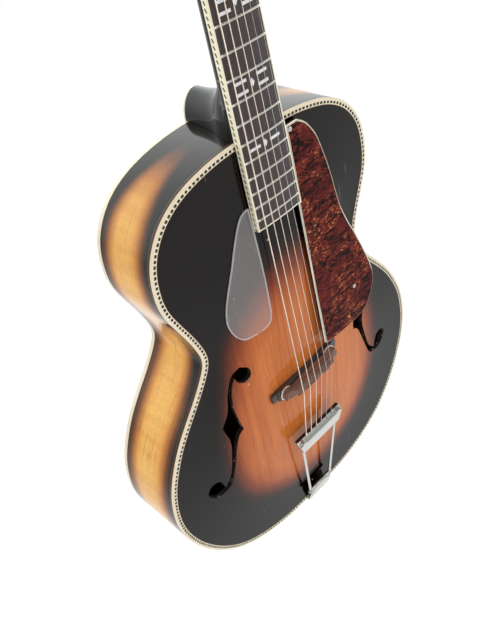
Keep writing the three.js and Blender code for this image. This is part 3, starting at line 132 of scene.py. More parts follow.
def set_studio():
    for name, panel in PANELS.items():
        light = bpy.data.lights.new(name, "AREA")
        light.shape = "RECTANGLE"
        light.size, light.size_y = panel["size"]
        light.energy = panel["watts"]
        lamp = bpy.data.objects.new(name, light)
        lamp.location = panel["place"]
        lamp.rotation_euler = (AIM - Vector(panel["place"])).to_track_quat("-Z", "Y").to_euler()
        bpy.context.scene.collection.objects.link(lamp)
    world = bpy.data.worlds.new("studio")
    bpy.context.scene.world = world
    world.use_nodes = True
    tree = world.node_tree
    tree.nodes.clear()
    add, link = tree.nodes.new, tree.links.new
    seen = add("ShaderNodeBackground")
    lit = add("ShaderNodeBackground")
    lit.inputs["Color"].default_value = (*ROOM_TINT, 1)
    seen.inputs["Color"].default_value = (1, 1, 1, 1)
    way = add("ShaderNodeSeparateXYZ")
    link(add("ShaderNodeTexCoord").outputs["Generated"], way.inputs[0])
    glow = add("ShaderNodeMath")
    glow.operation = "MULTIPLY"
    link(brightening(tree, way.outputs["Y"], *GLOW_BACK), glow.inputs[0])
    link(brightening(tree, way.outputs["Z"], *GLOW_HEIGHT), glow.inputs[1])
    power = add("ShaderNodeMath")
    power.operation = "MULTIPLY_ADD"
    power.inputs[1].default_value = ROOM_GLOW
    power.inputs[2].default_value = ROOM_BASE
    link(glow.outputs[0], power.inputs[0])
    link(power.outputs[0], lit.inputs["Strength"])
    path = add("ShaderNodeLightPath")
    mix = add("ShaderNodeMixShader")
    out = add("ShaderNodeOutputWorld")
    link(path.outputs["Is Camera Ray"], mix.inputs["Fac"])
    link(lit.outputs[0], mix.inputs[1])
    link(seen.outputs[0], mix.inputs[2])
    link(mix.outputs[0], out.inputs["Surface"])
    bpy.context.scene.view_settings.view_transform = "Standard"


def set_floor():
    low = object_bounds()[0][2] - FLOOR_DROP
    corners = [(-FLOOR_HALF, -FLOOR_HALF, low), (FLOOR_HALF, -FLOOR_HALF, low),
               (FLOOR_HALF, FLOOR_HALF, low), (-FLOOR_HALF, FLOOR_HALF, low)]
    mesh = bpy.data.meshes.new("floor")
    mesh.from_pydata(corners, [], [(0, 1, 2, 3)])
    floor = bpy.data.objects.new("floor", mesh)
    bpy.context.scene.collection.objects.link(floor)
    paint = bpy.data.materials.new("pale_floor")
    paint.use_nodes = True
    shader = paint.node_tree.nodes["Principled BSDF"]
    shader.inputs["Base Color"].default_value = (0.12, 0.12, 0.12, 1)
    shader.inputs["Roughness"].default_value = 1.0
    shader.inputs["Specular IOR Level"].default_value = 0.0
    shader.inputs["Emission Color"].default_value = (1, 1, 1, 1)
    shader.inputs["Emission Strength"].default_value = 0.97
    mesh.materials.append(paint)


set_studio()
set_floor()
print("lights", len(PANELS))

# %% [markdown]
# Finishes are mixed from noise, bands and ramps. The class below lets them be written as sums and products:
# each sign adds one Math node, and every other node comes from one method.

# %% Finishes as expressions


class Value:
    """A number that changes over a surface."""

    def __init__(self, paint, socket):
        self.paint = paint
        self.socket = socket

    def math(self, operation, *others):
        sockets = {i: v for i, v in enumerate(others)}
        return self.paint.node("ShaderNodeMath", {"operation": operation}, sockets)

    def __add__(self, other):
        return self.math("ADD", self, other)

    def __sub__(self, other):
        return self.math("SUBTRACT", self, other)

    def __mul__(self, other):
        return self.math("MULTIPLY", self, other)

    def __truediv__(self, other):
        return self.math("DIVIDE", self, other)

    def __pow__(self, other):
        return self.math("POWER", self, other)

    def __rpow__(self, other):
        return self.math("POWER", other, self)

    def __rsub__(self, other):
        return self.math("SUBTRACT", other, self)

    def __rtruediv__(self, other):
        return self.math("DIVIDE", other, self)

    def __abs__(self):
        return self.math("ABSOLUTE", self)

    __radd__ = __add__
    __rmul__ = __mul__


# %% [markdown]
# A finish and a geometry rule are both trees of nodes, so both grow from one class, whose method takes a
# node's type, settings and sockets.

# %% Trees of nodes


class Graph:
    """A node tree that is being written. node() adds any node and gives one of its outputs."""

    def node(self, kind, settings=None, sockets=None, output=0):
        node = self.tree.nodes.new(kind)
        for key, value in (settings or {}).items():
            if key == "stops":
                self.set_stops(node.color_ramp, value)
            else:
                setattr(node, key, value)
        for key, value in (sockets or {}).items():
            if isinstance(value, Value):
                self.tree.links.new(value.socket, node.inputs[key])
            else:
                node.inputs[key].default_value = value
        return Value(self, node.outputs[output])

    def set_stops(self, ramp, stops):
        while len(ramp.elements) < len(stops):
            ramp.elements.new(1)
        for element, (place, color) in zip(ramp.elements, stops):
            element.position = place
            element.color = (*color, 1)

    def part(self, vector, axis):
        return self.node("ShaderNodeSeparateXYZ", None, {"Vector": vector}, axis)


# %% [markdown]
# A finish starts from where a point lies on its piece. Noise and bands turn that place into numbers, mixes
# turn the numbers into colours, and one Principled shader ends it. Every pattern reads the piece's own
# coordinates, so it stays where it is when the piece moves.

# %% Mixing a finish


class Paint(Graph):

    def __init__(self, name):
        self.material = bpy.data.materials.new(name)
        self.material.use_nodes = True
        self.tree = self.material.node_tree
        self.tree.nodes.clear()

    def place(self, scale=(1, 1, 1), turn=(0, 0, 0), shift=(0, 0, 0)):
        spot = self.node("ShaderNodeTexCoord", output="Object")
        sockets = {"Vector": spot, "Location": shift, "Rotation": turn, "Scale": scale}
        return self.node("ShaderNodeMapping", None, sockets)

    def noise(self, vector, scale, detail=3, roughness=0.5, distortion=0):
        sockets = {"Vector": vector, "Scale": scale, "Detail": detail, "Roughness": roughness,
                   "Distortion": distortion}
        return self.node("ShaderNodeTexNoise", None, sockets)

    def cells(self, vector, scale):
        return self.node("ShaderNodeTexVoronoi", None, {"Vector": vector, "Scale": scale})

    def attribute(self, name):
        return self.node("ShaderNodeAttribute", {"attribute_name": name}, None, "Fac")

    def band(self, value, low, high):
        """Rises smoothly from 0 at low to 1 at high."""
        sockets = {"Value": value, "From Min": low, "From Max": high}
        return self.node("ShaderNodeMapRange", {"interpolation_type": "SMOOTHSTEP"}, sockets)

    def ramp(self, value, *stops):
        return self.node("ShaderNodeValToRGB", {"stops": stops}, {"Fac": value})

    def mix(self, share, under, over, blend="MIX"):
        settings = {"data_type": "RGBA", "blend_type": blend}
        colors = [v if isinstance(v, Value) else (*v, 1) for v in (under, over)]
        return self.node("ShaderNodeMix", settings, {"Factor": share, 6: colors[0], 7: colors[1]}, 2)

    def sine(self, value):
        return self.node("ShaderNodeMath", {"operation": "SINE"}, {0: value})

    def bump(self, height, strength, distance):
        sockets = {"Height": height, "Strength": strength, "Distance": distance}
        return self.node("ShaderNodeBump", None, sockets)

    def surface(self, **sockets):
        """Ends the finish in one Principled shader and returns the material."""
        named = {key.replace("_", " "): v for key, v in sockets.items()}
        for key, value in named.items():
            if isinstance(value, tuple) and len(value) == 3 and "Color" in key:
                named[key] = (*value, 1)
        shader = self.node("ShaderNodeBsdfPrincipled", None, named)
        out = self.tree.nodes.new("ShaderNodeOutputMaterial")
        self.tree.links.new(shader.socket, out.inputs["Surface"])
        return self.material


# %% [markdown]
# Most pieces are lofts: rows of matching rings, joined by quads. The same few helpers make them all, so
# neighbours share their edges.

# %% Mesh helpers
WELD = 1e-6


def lofted(rings, loop=False, covered=True):
    """Points and faces through a row of closed rings with as many points each."""
    rings = np.asarray(rings, float)
    count, around, _ = rings.shape
    index = np.arange(count * around).reshape(count, around)
    near = index if loop else index[:-1]
    far = np.roll(index, -1, axis=0) if loop else index[1:]
    quads = np.stack([near, np.roll(near, -1, 1), np.roll(far, -1, 1), far], -1).reshape(-1, 4).tolist()
    if covered and not loop:
        quads += [index[0][::-1].tolist(), index[-1].tolist()]
    return rings.reshape(-1, 3), quads


def joined(*shells):
    points, faces, start = [], [], 0
    for shell_points, shell_faces in shells:
        points.append(np.asarray(shell_points, float))
        faces += [[i + start for i in face] for face in shell_faces]
        start += len(shell_points)
    return np.concatenate(points), faces


def placed(points, matrix):
    return np.asarray(points) @ np.array(matrix.to_3x3()).T + np.array(matrix.translation)


def moved(shell, matrix):
    points, faces = shell
    return placed(points, matrix), faces


def block(low, high):
    flat = ((low[0], low[1]), (high[0], low[1]), (high[0], high[1]), (low[0], high[1]))
    return lofted([[(x, y, z) for x, y in flat] for z in (low[2], high[2])])


AXIS_ORDERS = {"x": [2, 0, 1], "y": [1, 2, 0], "z": [0, 1, 2]}


def turned(profile, sides, axis="y"):
    """A piece turned on a lathe, from (radius, place along the axis). Its two ends are covered."""
    angles = np.linspace(0, 2 * math.pi, sides, endpoint=False)
    rings = []
    for radius, along in profile:
        flat = np.stack([radius * np.cos(angles), radius * np.sin(angles), np.full(sides, along)], -1)
        rings.append(flat[:, AXIS_ORDERS[axis]])
    return lofted(rings)


def drill(radius, low, high, sides, axis="y"):
    return turned([(radius, low), (radius, high)], sides, axis)


def tube_rings(line, radius, sides):
    """Rings along a line that turn as little as they can."""
    line = np.asarray(line, float)
    along = np.gradient(line, axis=0)
    along /= np.linalg.norm(along, axis=1)[:, None]
    radii = np.broadcast_to(radius, len(line))
    across = np.array([1.0, 0.0, 0.0]) if abs(along[0][0]) < 0.9 else np.array([0.0, 1.0, 0.0])
    angles = np.linspace(0, 2 * math.pi, sides, endpoint=False)[:, None]
    rings = []
    for point, way, size in zip(line, along, radii):
        across = across - way * across.dot(way)
        across /= np.linalg.norm(across)
        other = np.cross(way, across)
        rings.append(point + size * (np.cos(angles) * across + np.sin(angles) * other))
    return rings


# %% [markdown]
# A shell becomes a piece once its doubled points are welded and its faces point outwards. Modifiers then
# cut, join or round it. Each becomes plain mesh at once, because a piece is handed over without live steps.

# %% Pieces


def piece(name, shell, finish, crease=35):
    """A mesh object from points and faces, welded, closed and facing out."""
    points, faces = shell
    mesh = bpy.data.meshes.new(name)
    mesh.from_pydata(np.asarray(points).tolist(), [], faces)
    work = bmesh.new()
    work.from_mesh(mesh)
    bmesh.ops.remove_doubles(work, verts=work.verts, dist=WELD)
    bmesh.ops.dissolve_degenerate(work, edges=work.edges, dist=WELD)
    bmesh.ops.recalc_face_normals(work, faces=work.faces)
    work.to_mesh(mesh)
    work.free()
    mesh.materials.append(finish)
    made = bpy.data.objects.new(name, mesh)
    bpy.context.scene.collection.objects.link(made)
    shade(made, crease)
    return made


def facing_out(made):
    """Welds a piece that a rule has made and turns its faces outwards."""
    work = bmesh.new()
    work.from_mesh(made.data)
    bmesh.ops.remove_doubles(work, verts=work.verts, dist=WELD)
    bmesh.ops.recalc_face_normals(work, faces=work.faces)
    work.to_mesh(made.data)
    work.free()


def shade(made, crease=35):
    made.data.shade_smooth()
    made.data.set_sharp_from_angle(angle=math.radians(crease))


def settle(made):
    """Turns what the piece's modifiers show into its own plain mesh."""
    view = bpy.context.evaluated_depsgraph_get()
    mesh = bpy.data.meshes.new_from_object(made.evaluated_get(view))
    made.modifiers.clear()
    old = made.data
    made.data = mesh
    bpy.data.meshes.remove(old)
    return made


def carve(made, tool, operation="DIFFERENCE", crease=35):
    """Cuts a piece with another one, or joins them, and removes the tool."""
    change = made.modifiers.new("carve", "BOOLEAN")
    change.operation = operation
    change.solver = "EXACT"
    change.object = tool
    change.material_mode = "TRANSFER"
    settle(made)
    bpy.data.objects.remove(tool)
    shade(made, crease)
    return made


def ease(made, width, segments=2, angle=30, crease=50):
    change = made.modifiers.new("ease", "BEVEL")
    change.width = width
    change.segments = segments
    change.limit_method = "ANGLE"
    change.angle_limit = math.radians(angle)
    settle(made)
    shade(made, crease)
    return made


def hand_over(made, body, slot, *nodes):
    """Says which body the piece rides on and which nodes it stands for. Its slot argument is not used."""
    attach(made, body)
    if nodes:
        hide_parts(*nodes)
    print(made.name, len(made.data.polygons), "faces")
    return made


def set_numbers(made, name, values):
    """Stores one number for each point of a piece, for its finish to read."""
    layer = made.data.attributes.new(name, "FLOAT", "POINT")
    layer.data.foreach_set("value", np.asarray(values, np.float32))


def coordinates(made):
    flat = np.empty(len(made.data.vertices) * 3, np.float32)
    made.data.vertices.foreach_get("co", flat)
    return flat.reshape(-1, 3).astype(float)


# %% [markdown]
# The body's outline is read from the frame's own top binding, whose front face holds it twice: once outside
# and once inside. A smooth closed line through the outer points gives every plate, rib and strip its edge.

# %% Body outline
OUTLINE_DIVISIONS = 5
STAR_HEIGHT_SHARE = 0.58
FRONT_TOLERANCE = 1e-4
binding_low, binding_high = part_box("top_binding")
EDGE = binding_low.y
TAIL = binding_low.z
BODY_LENGTH = binding_high.z - binding_low.z


def between(before, here, after, beyond, t):
    """The smooth curve's point at share t of the way from here to after."""
    return 0.5 * (2 * here + (after - before) * t
                  + (2 * before - 5 * here + 4 * after - beyond) * t ** 2
                  + (3 * here - before - 3 * after + beyond) * t ** 3)


def smooth_loop(points, divisions):
    """A closed smooth line through points, with so many steps from each to the next."""
    before, after, beyond = (np.roll(points, shift, 0) for shift in (1, -1, -2))
    shares = np.linspace(0, 1, divisions, endpoint=False)
    return np.stack([between(before, points, after, beyond, t) for t in shares], 1).reshape(-1, 2)


def smooth_line(points, divisions):
    """The same through an open row of points of any size."""
    points = np.asarray(points, float)
    ends = np.concatenate([[2 * points[0] - points[1]], points, [2 * points[-1] - points[-2]]])
    line = []
    for i in range(len(points) - 1):
        line += [between(*ends[i:i + 4], t) for t in np.linspace(0, 1, divisions, endpoint=False)]
    return np.array(line + [points[-1]])


def read_outline():
    corners = coordinates(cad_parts["top_binding"])
    front = corners[abs(corners[:, 1] - EDGE) < FRONT_TOLERANCE][:, [0, 2]]
    front = np.unique(np.round(front, 6), axis=0) - [0, TAIL]
    centre = np.array([0, STAR_HEIGHT_SHARE * BODY_LENGTH])
    gaps = np.linalg.norm(front[:, None] - front[None], axis=2)
    np.fill_diagonal(gaps, np.inf)
    partner = front[gaps.argmin(1)]
    outer = front[np.linalg.norm(front - centre, axis=1) > np.linalg.norm(partner - centre, axis=1)]
    around = np.arctan2(outer[:, 0], centre[1] - outer[:, 1])
    return smooth_loop(outer[np.argsort(around)], OUTLINE_DIVISIONS)


OUTLINE = read_outline()


def inset(distance):
    along = np.roll(OUTLINE, -1, 0) - np.roll(OUTLINE, 1, 0)
    along /= np.linalg.norm(along, axis=1)[:, None]
    return OUTLINE + distance * np.stack([-along[:, 1], along[:, 0]], -1)


INWARD = 1 if abs(inset(0.01)[:, 0]).max() < abs(OUTLINE[:, 0]).max() else -1
print("outline points", len(OUTLINE), "inward", INWARD)

# %% [markdown]
# Both plates rise from their edges in a long cosine wave, like a loaf. The top is carved to one thickness, so
# its inside follows its outside. The sound holes are cut through with a slab that has their outline, and the
# cut takes that slab's finish for the holes' edges.

# %% Plates
TOP_CROWN = 0.010
BACK_CROWN = 0.013
ARCH_TAIL_SHARE = 0.42
ARCH_NECK_SHARE = 0.30
SPINE_SHARES = (0.27, 0.84)
RING_SPREAD = 1.15
PLATE_THICKNESS = 0.0053
TOP_BINDING_WIDTH = 0.0044
BACK_BINDING_WIDTH = 0.003
SEAM = 0.0003
RIB_TAIL_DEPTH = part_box("back_binding")[1].y - EDGE
RIB_NECK_DEPTH = 0.0734
PLATE_RINGS = 36
HALF_SPAN = OUTLINE[OUTLINE[:, 0] > 0]
HALF_SPAN = HALF_SPAN[np.argsort(HALF_SPAN[:, 1])]


def eased(value):
    t = np.clip(value, 0, 1)
    return t * t * (3 - 2 * t)


def rise(x, z, crown):
    """How far a plate rises above its edge."""
    share = z / BODY_LENGTH
    lengthwise = np.minimum(eased(share / ARCH_TAIL_SHARE), eased((1 - share) / ARCH_NECK_SHARE))
    half = np.maximum(np.interp(z, HALF_SPAN[:, 1], HALF_SPAN[:, 0]), 1e-4)
    across = np.clip(np.abs(x) / half, 0, 1)
    return crown * lengthwise * (1 + np.cos(np.pi * across)) / 2


def rib_depth(z):
    return RIB_TAIL_DEPTH + (RIB_NECK_DEPTH - RIB_TAIL_DEPTH) * z / BODY_LENGTH


def top_depth(x, z):
    return -rise(x, z, TOP_CROWN)


def back_depth(x, z):
    return rib_depth(z) + rise(x, z, BACK_CROWN)


def on_body(x, depth, z):
    return np.stack([x, EDGE + depth, TAIL + z], -1)


def plate_shell(edge_inset, outside, inside):
    """Rings that shrink from a plate's edge to its spine, over the outside and back along the inside."""
    edge = inset(INWARD * edge_inset)
    spine = np.clip(edge[:, 1], SPINE_SHARES[0] * BODY_LENGTH, SPINE_SHARES[1] * BODY_LENGTH)
    shares = np.linspace(0, 1, PLATE_RINGS) ** RING_SPREAD

    def ring(share, surface):
        x = edge[:, 0] * (1 - share)
        z = edge[:, 1] + (spine - edge[:, 1]) * share
        return on_body(x, surface(x, z), z)

    rings = [ring(s, outside) for s in shares[::-1]] + [ring(s, inside) for s in shares]
    return lofted(rings, covered=False)


print("ribs", RIB_NECK_DEPTH, "to", round(RIB_TAIL_DEPTH, 4), "m deep")

# %% [markdown]
# A sound hole is drawn as six smooth stretches between its sharp corners, in shares of its width and
# length. The tips and the notches at its waist stay crisp that way.

# %% Sound holes
SOUND_HOLE_INNER = 0.0665
SOUND_HOLE_WIDTH = 0.0874
SOUND_HOLE_LOW = 0.1486
SOUND_HOLE_LENGTH = 0.1476
SOUND_HOLE_SHARES = [
    [[0.23, 0.94], [0.29, 0.88], [0.33, 0.79], [0.34, 0.66], [0.29, 0.466]],
    [[0.29, 0.466], [0.38, 0.425], [0.45, 0.33], [0.53, 0.185], [0.63, 0.04], [0.74, 0]],
    [[0.74, 0], [0.89, 0.01], [1, 0.1], [0.93, 0.165], [0.8, 0.148], [0.74, 0.045]],
    [[0.74, 0.045], [0.62, 0.135], [0.54, 0.31], [0.51, 0.44], [0.56, 0.603]],
    [[0.56, 0.603], [0.44, 0.705], [0.37, 0.85], [0.27, 0.967], [0.13, 1]],
    [[0.13, 1], [0.02, 0.945], [0.01, 0.88], [0.09, 0.848], [0.19, 0.88], [0.23, 0.94]],
]
HOLE_DIVISIONS = 8
CUT_OVERRUN = 0.003


def sound_hole_outline(side):
    edge = np.concatenate([smooth_line(s, HOLE_DIVISIONS)[:-1] for s in SOUND_HOLE_SHARES])
    x = SOUND_HOLE_INNER + edge[:, 0] * SOUND_HOLE_WIDTH
    return side * x, SOUND_HOLE_LOW + edge[:, 1] * SOUND_HOLE_LENGTH


def sound_hole_tool(side, finish):
    x, z = sound_hole_outline(side)
    low = np.full(len(x), -TOP_CROWN - CUT_OVERRUN)
    high = np.full(len(x), PLATE_THICKNESS + CUT_OVERRUN)
    return piece("sound_hole_tool", lofted([on_body(x, low, z), on_body(x, high, z)]), finish)


# %% [markdown]
# A mesh is made of flats, and clear lacquer shows each one as a facet in its reflection. The plates' outer
# faces follow a formula, so their points are given the formula's own directions instead of the mesh's.

# %% True directions of the carved faces
SLOPE_STEP = 1e-4
ON_FACE = 1e-5
AGREEMENT = 0.8


def true_normals(made, surface, outward):
    """Gives a carved face the exact directions of its formula."""
    mesh = made.data
    points = coordinates(made)
    x, z = points[:, 0], points[:, 2] - TAIL
    slope_x = (surface(x + SLOPE_STEP, z) - surface(x - SLOPE_STEP, z)) / (2 * SLOPE_STEP)
    slope_z = (surface(x, z + SLOPE_STEP) - surface(x, z - SLOPE_STEP)) / (2 * SLOPE_STEP)
    formula = outward * np.stack([-slope_x, np.ones_like(x), -slope_z], -1)
    formula /= np.linalg.norm(formula, axis=1)[:, None]
    corner_point = np.empty(len(mesh.loops), np.int32)
    mesh.loops.foreach_get("vertex_index", corner_point)
    flat = np.empty(len(mesh.loops) * 3, np.float32)
    mesh.corner_normals.foreach_get("vector", flat)
    normals = flat.reshape(-1, 3).astype(float)
    wanted = formula[corner_point]
    on_face = np.abs(points[:, 1] - EDGE - surface(x, z))[corner_point] < ON_FACE
    agree = (normals * wanted).sum(1) > AGREEMENT
    use = on_face & agree
    normals[use] = wanted[use]
    mesh.normals_split_custom_set(normals.tolist())


print("true directions within", ON_FACE, "m of the formula")

# %% [markdown]
# The top is spruce under a shaded lacquer: amber in the middle, then dark red, then black towards the edge.
# The shade follows an egg round the bridge, which a ramp over the distance from its middle gives without
# any picture. Fine grain lines run with the strings. Small chips show pale wood, hair scratches cross the
# lacquer in two directions, and one old crack follows the grain beside the bridge.

# %% Top's finish
LACQUER_IOR = 1.28
EGG_MIDDLE = (0.006, 0.172)
EGG_HALF_WIDTH = 0.137
EGG_LOW = 0.132
EGG_HIGH = 0.235
EGG_BLEND = 0.01
SPRUCE_LIGHT = (0.64, 0.190, 0.044)
SPRUCE_DARK = (0.46, 0.110, 0.022)
SUNBURST = [(0.0, (1, 1, 1)), (0.64, (0.97, 0.95, 0.93)), (0.76, (0.76, 0.62, 0.54)),
            (0.85, (0.34, 0.2, 0.15)), (0.94, (0.05, 0.026, 0.02)), (1.0, (0.004, 0.0035, 0.0035))]
HAIR_SCRATCHES = [(0.9, 0.0), (-0.5, 0.3)]
CRACK_PLACE = -0.0415
CRACK_SPAN = (0.16, 0.212)
CRACK_FADE = 0.01
CRACK_HALF = (0.0001, 0.0005)


def egg_share(paint, x, z):
    """How far out a point lies: 0 at the egg's middle, 1 on its edge."""
    above = paint.band(z, EGG_MIDDLE[1] + TAIL - EGG_BLEND, EGG_MIDDLE[1] + TAIL + EGG_BLEND)
    length = EGG_LOW + above * (EGG_HIGH - EGG_LOW)
    across = (x - EGG_MIDDLE[0]) / EGG_HALF_WIDTH
    along = (z - EGG_MIDDLE[1] - TAIL) / length
    return (across * across + along * along) ** 0.5


def crack_line(paint, spot, x, z):
    """1 on a thin line that wanders along the grain and fades at both ends."""
    low, high = CRACK_SPAN
    wander = (paint.noise(spot, 45, 2, 0.5) - 0.5) * 0.003 + (high + TAIL - z) * 0.09
    beside = abs(x - CRACK_PLACE - wander)
    started = paint.band(z, low + TAIL, low + TAIL + CRACK_FADE)
    ended = paint.band(z, high + TAIL - CRACK_FADE, high + TAIL)
    return (1 - paint.band(beside, *CRACK_HALF)) * started * (1 - ended)


def shaded_spruce():
    paint = Paint("shaded_spruce")
    spot = paint.place()
    x, z = paint.part(spot, "X"), paint.part(spot, "Z")
    cloud = paint.noise(spot, 14, 2, 0.4) - 0.5
    egg = egg_share(paint, x, z) + cloud * 0.09
    grain_spot = paint.place(scale=(1, 1, 0.012))
    fine = paint.noise(grain_spot, 620, 2, 0.6)
    broad = paint.noise(grain_spot, 120, 2, 0.5)
    lines = paint.band(fine, 0.42, 0.72) * 0.5 + paint.band(broad, 0.35, 0.75) * 0.5
    wood = paint.mix(lines, SPRUCE_LIGHT, SPRUCE_DARK)
    colored = paint.mix(1.0, wood, paint.ramp(egg, *SUNBURST), "MULTIPLY")
    chips = paint.band(paint.noise(spot, 95, 1, 0.5), 0.795, 0.80)
    worn = paint.mix(chips, colored, (0.55, 0.33, 0.16))
    for turn, shift in HAIR_SCRATCHES:
        stretched = paint.place(turn=(0, turn, 0), scale=(1, 1, 0.045), shift=(shift, 0, 0))
        hairs = paint.noise(stretched, 460, 1, 0.5)
        worn = paint.mix(paint.band(hairs, 0.79, 0.82) * 0.35, worn, (0.6, 0.45, 0.28))
    worn = paint.mix(crack_line(paint, spot, x, z) * 0.6, worn, (0.08, 0.03, 0.015))
    height = paint.noise(spot, 60, 2, 0.5) * 0.6 + lines * 0.12 - chips * 0.5
    smudge = paint.noise(spot, 26, 3, 0.6)
    return paint.surface(
        Base_Color=worn, Roughness=0.4 + lines * 0.1, Coat_Weight=1.0, Coat_Roughness=0.045,
        Coat_IOR=LACQUER_IOR, Specular_IOR_Level=0.0, Normal=paint.bump(height + smudge * 0.2, 0.12, 0.0004))


# %% [markdown]
# Wood that no lacquer reaches is dull. The inside of the body is plain brown wood, painted much darker than
# bare wood is: painted shade for the dark inside of the body. The cut edge of a sound hole is near black,
# with pale bare wood in worn patches.

# %% Bare wood


def bare_wood(name, light, dark):
    paint = Paint(name)
    fibres = paint.noise(paint.place(scale=(1, 1, 0.06)), 420, 3, 0.6)
    stain = paint.noise(paint.place(), 18, 3, 0.5)
    wood = paint.mix(paint.band(fibres, 0.3, 0.7), light, dark)
    colored = paint.mix(stain * 0.4, wood, dark)
    return paint.surface(Base_Color=colored, Roughness=0.72 + fibres * 0.1,
                         Normal=paint.bump(fibres, 0.3, 0.0004))


def hole_edge():
    paint = Paint("hole_edge")
    spot = paint.place()
    wear = paint.band(paint.noise(spot, 170, 4, 0.7), 0.58, 0.66)
    color = paint.mix(wear, (0.016, 0.012, 0.011), (0.50, 0.40, 0.26))
    return paint.surface(Base_Color=color, Roughness=0.45 + wear * 0.3, Normal=paint.bump(wear, 0.3, 0.0003))


LINING_SLACK = 0.0005
hole_wood = hole_edge()
# Bare brown wood, painted far darker than it is: painted shade for the inside of the body.
inner_wood_painted_shade = bare_wood("inner_wood_painted_shade", (0.10, 0.06, 0.034), (0.05, 0.028, 0.016))


def line_inside(made, surface, inward):
    """Gives the faces behind a plate's outer surface the darkened inner wood, whose dark colour is painted
    shade.
    """
    made.data.materials.append(inner_wood_painted_shade)
    slot = len(made.data.materials) - 1
    lined = 0
    for face in made.data.polygons:
        middle = face.center
        deep = (middle.y - EDGE - float(surface(np.array(middle.x), np.array(middle.z - TAIL)))) * inward
        if face.material_index == 0 and deep > PLATE_THICKNESS - LINING_SLACK:
            face.material_index = slot
            lined += 1
    print(made.name, "lined faces", lined)


# %% [markdown]
# The carved top is one loft with its own thickness. The two sound holes are then cut by a boolean, because
# their outline would break the loft's even rings, and the cut faces take the cutter's own finish.

# %% Carved top


def inner_top(x, z):
    return top_depth(x, z) + PLATE_THICKNESS


def make_top():
    shell = plate_shell(TOP_BINDING_WIDTH + SEAM, top_depth, inner_top)
    top = piece("carved_top", shell, shaded_spruce())
    for side in (-1, 1):
        carve(top, sound_hole_tool(side, hole_wood), crease=40)
    line_inside(top, top_depth, 1)
    true_normals(top, top_depth, -1)
    hand_over(top, "root", "spruce_top", "top_plate")


make_top()

# %% [markdown]
# Cream strips cover the body's edges. The wide one on the top wraps over the corner, so its outer corner is
# rounded. On the side only its first millimetre or two is scraped clean: below them the stain of the ribs
# runs over it, and a thin amber line shows where the scraper stopped.

# %% Body bindings
EDGE_ROUND = 0.0007
SCRAPED = 0.0015
AMBER_FADE = 0.0002
STAIN_FADE = (0.0003, 0.0005)


def strip_shell(profile):
    """A strip round the body from (inset, depth) corners. A depth is a number or a rule for the height."""
    rings = []
    for distance, depth in profile:
        edge = inset(INWARD * distance)
        deep = depth(edge[:, 1]) if callable(depth) else np.full(len(edge), depth)
        rings.append(on_body(edge[:, 0], deep, edge[:, 1]))
    return lofted(rings, loop=True)


def aged_cream(paint, age, tint, streak, share):
    """Old cream plastic: faint streaks along it and an uneven yellowing."""
    streaks = paint.noise(paint.place(scale=(1, 1, 0.1)), 160, 3, 0.6)
    color = paint.mix(streaks * share, tint, streak)
    return paint.mix(paint.band(age, 0.45, 0.8) * share, color, streak)


def cream(name, tint, streak):
    paint = Paint(name)
    age = paint.noise(paint.place(), 22, 3, 0.5)
    color = aged_cream(paint, age, tint, streak, 0.35)
    return paint.surface(Base_Color=color, Roughness=0.3 + age * 0.12, Coat_Weight=0.6, Coat_Roughness=0.08,
                         Normal=paint.bump(age, 0.08, 0.0005))


def scraped_cream(name, tint, streak):
    """Cream that is scraped clean for SCRAPED below the top's edge, amber there and stained further down."""
    paint = Paint(name)
    age = paint.noise(paint.place(), 22, 3, 0.5)
    color = aged_cream(paint, age, tint, streak, 0.3)
    deep = paint.part(paint.place(), 1) - EDGE + (age - 0.5) * 0.0004
    amber = paint.mix(paint.band(deep, SCRAPED - AMBER_FADE, SCRAPED), color, (0.60, 0.24, 0.07))
    stain = paint.band(deep, SCRAPED + STAIN_FADE[0], SCRAPED + STAIN_FADE[1])
    stained = paint.mix(stain, amber, (0.03, 0.016, 0.012))
    return paint.surface(Base_Color=stained, Roughness=0.3 + age * 0.12, Coat_Weight=0.6, Coat_Roughness=0.08,
                         Coat_IOR=LACQUER_IOR, Specular_IOR_Level=0.2, Normal=paint.bump(age, 0.08, 0.0005))


ivory = cream("ivory_binding", (0.72, 0.61, 0.42), (0.56, 0.42, 0.24))
top_ivory = scraped_cream("top_ivory", (0.85, 0.76, 0.58), (0.72, 0.58, 0.38))


def before_back(distance):
    """A depth that stays so far in front of the back's edge, whatever the height."""
    return lambda z: rib_depth(z) - distance


def make_bindings():
    width, deep, corner = TOP_BINDING_WIDTH, PLATE_THICKNESS, 0.3 * EDGE_ROUND
    rounded = [(0, deep), (0, EDGE_ROUND), (corner, corner), (EDGE_ROUND, 0), (width, 0), (width, deep)]
    top = piece("top_edge_binding", strip_shell(rounded), top_ivory, 50)
    hand_over(top, "root", "ivory_binding", "top_binding")
    width, front = BACK_BINDING_WIDTH, before_back(PLATE_THICKNESS)
    rounded = [(0, front), (0, before_back(EDGE_ROUND)), (corner, before_back(corner)),
               (EDGE_ROUND, rib_depth), (width, rib_depth), (width, front)]
    back = piece("back_edge_binding", strip_shell(rounded), ivory, 50)
    hand_over(back, "root", "ivory_binding", "back_binding")


make_bindings()

# %% [markdown]
# The ribs are two strips of figured maple bent round the body. Stain is sprayed dark along both edges and
# left amber between, and the ribs darken towards the tail. Beside the heel and in the waist they are painted
# darker too: a painted reflection and shade of the black heel, and painted shade in the waist's hollow. Each
# point stores how far across the rib it lies, and the finish reads that, so the dark bands keep to the edges
# as the ribs grow deeper towards the tail. Fine grain runs along the rib and the curl crosses it. The back is
# two halves of one board opened like a book, so its curl leans away from a thin seam. One finish serves both
# woods, and the back is mixed darker than the ribs: painted shade that makes up for the bright room light
# falling on it.

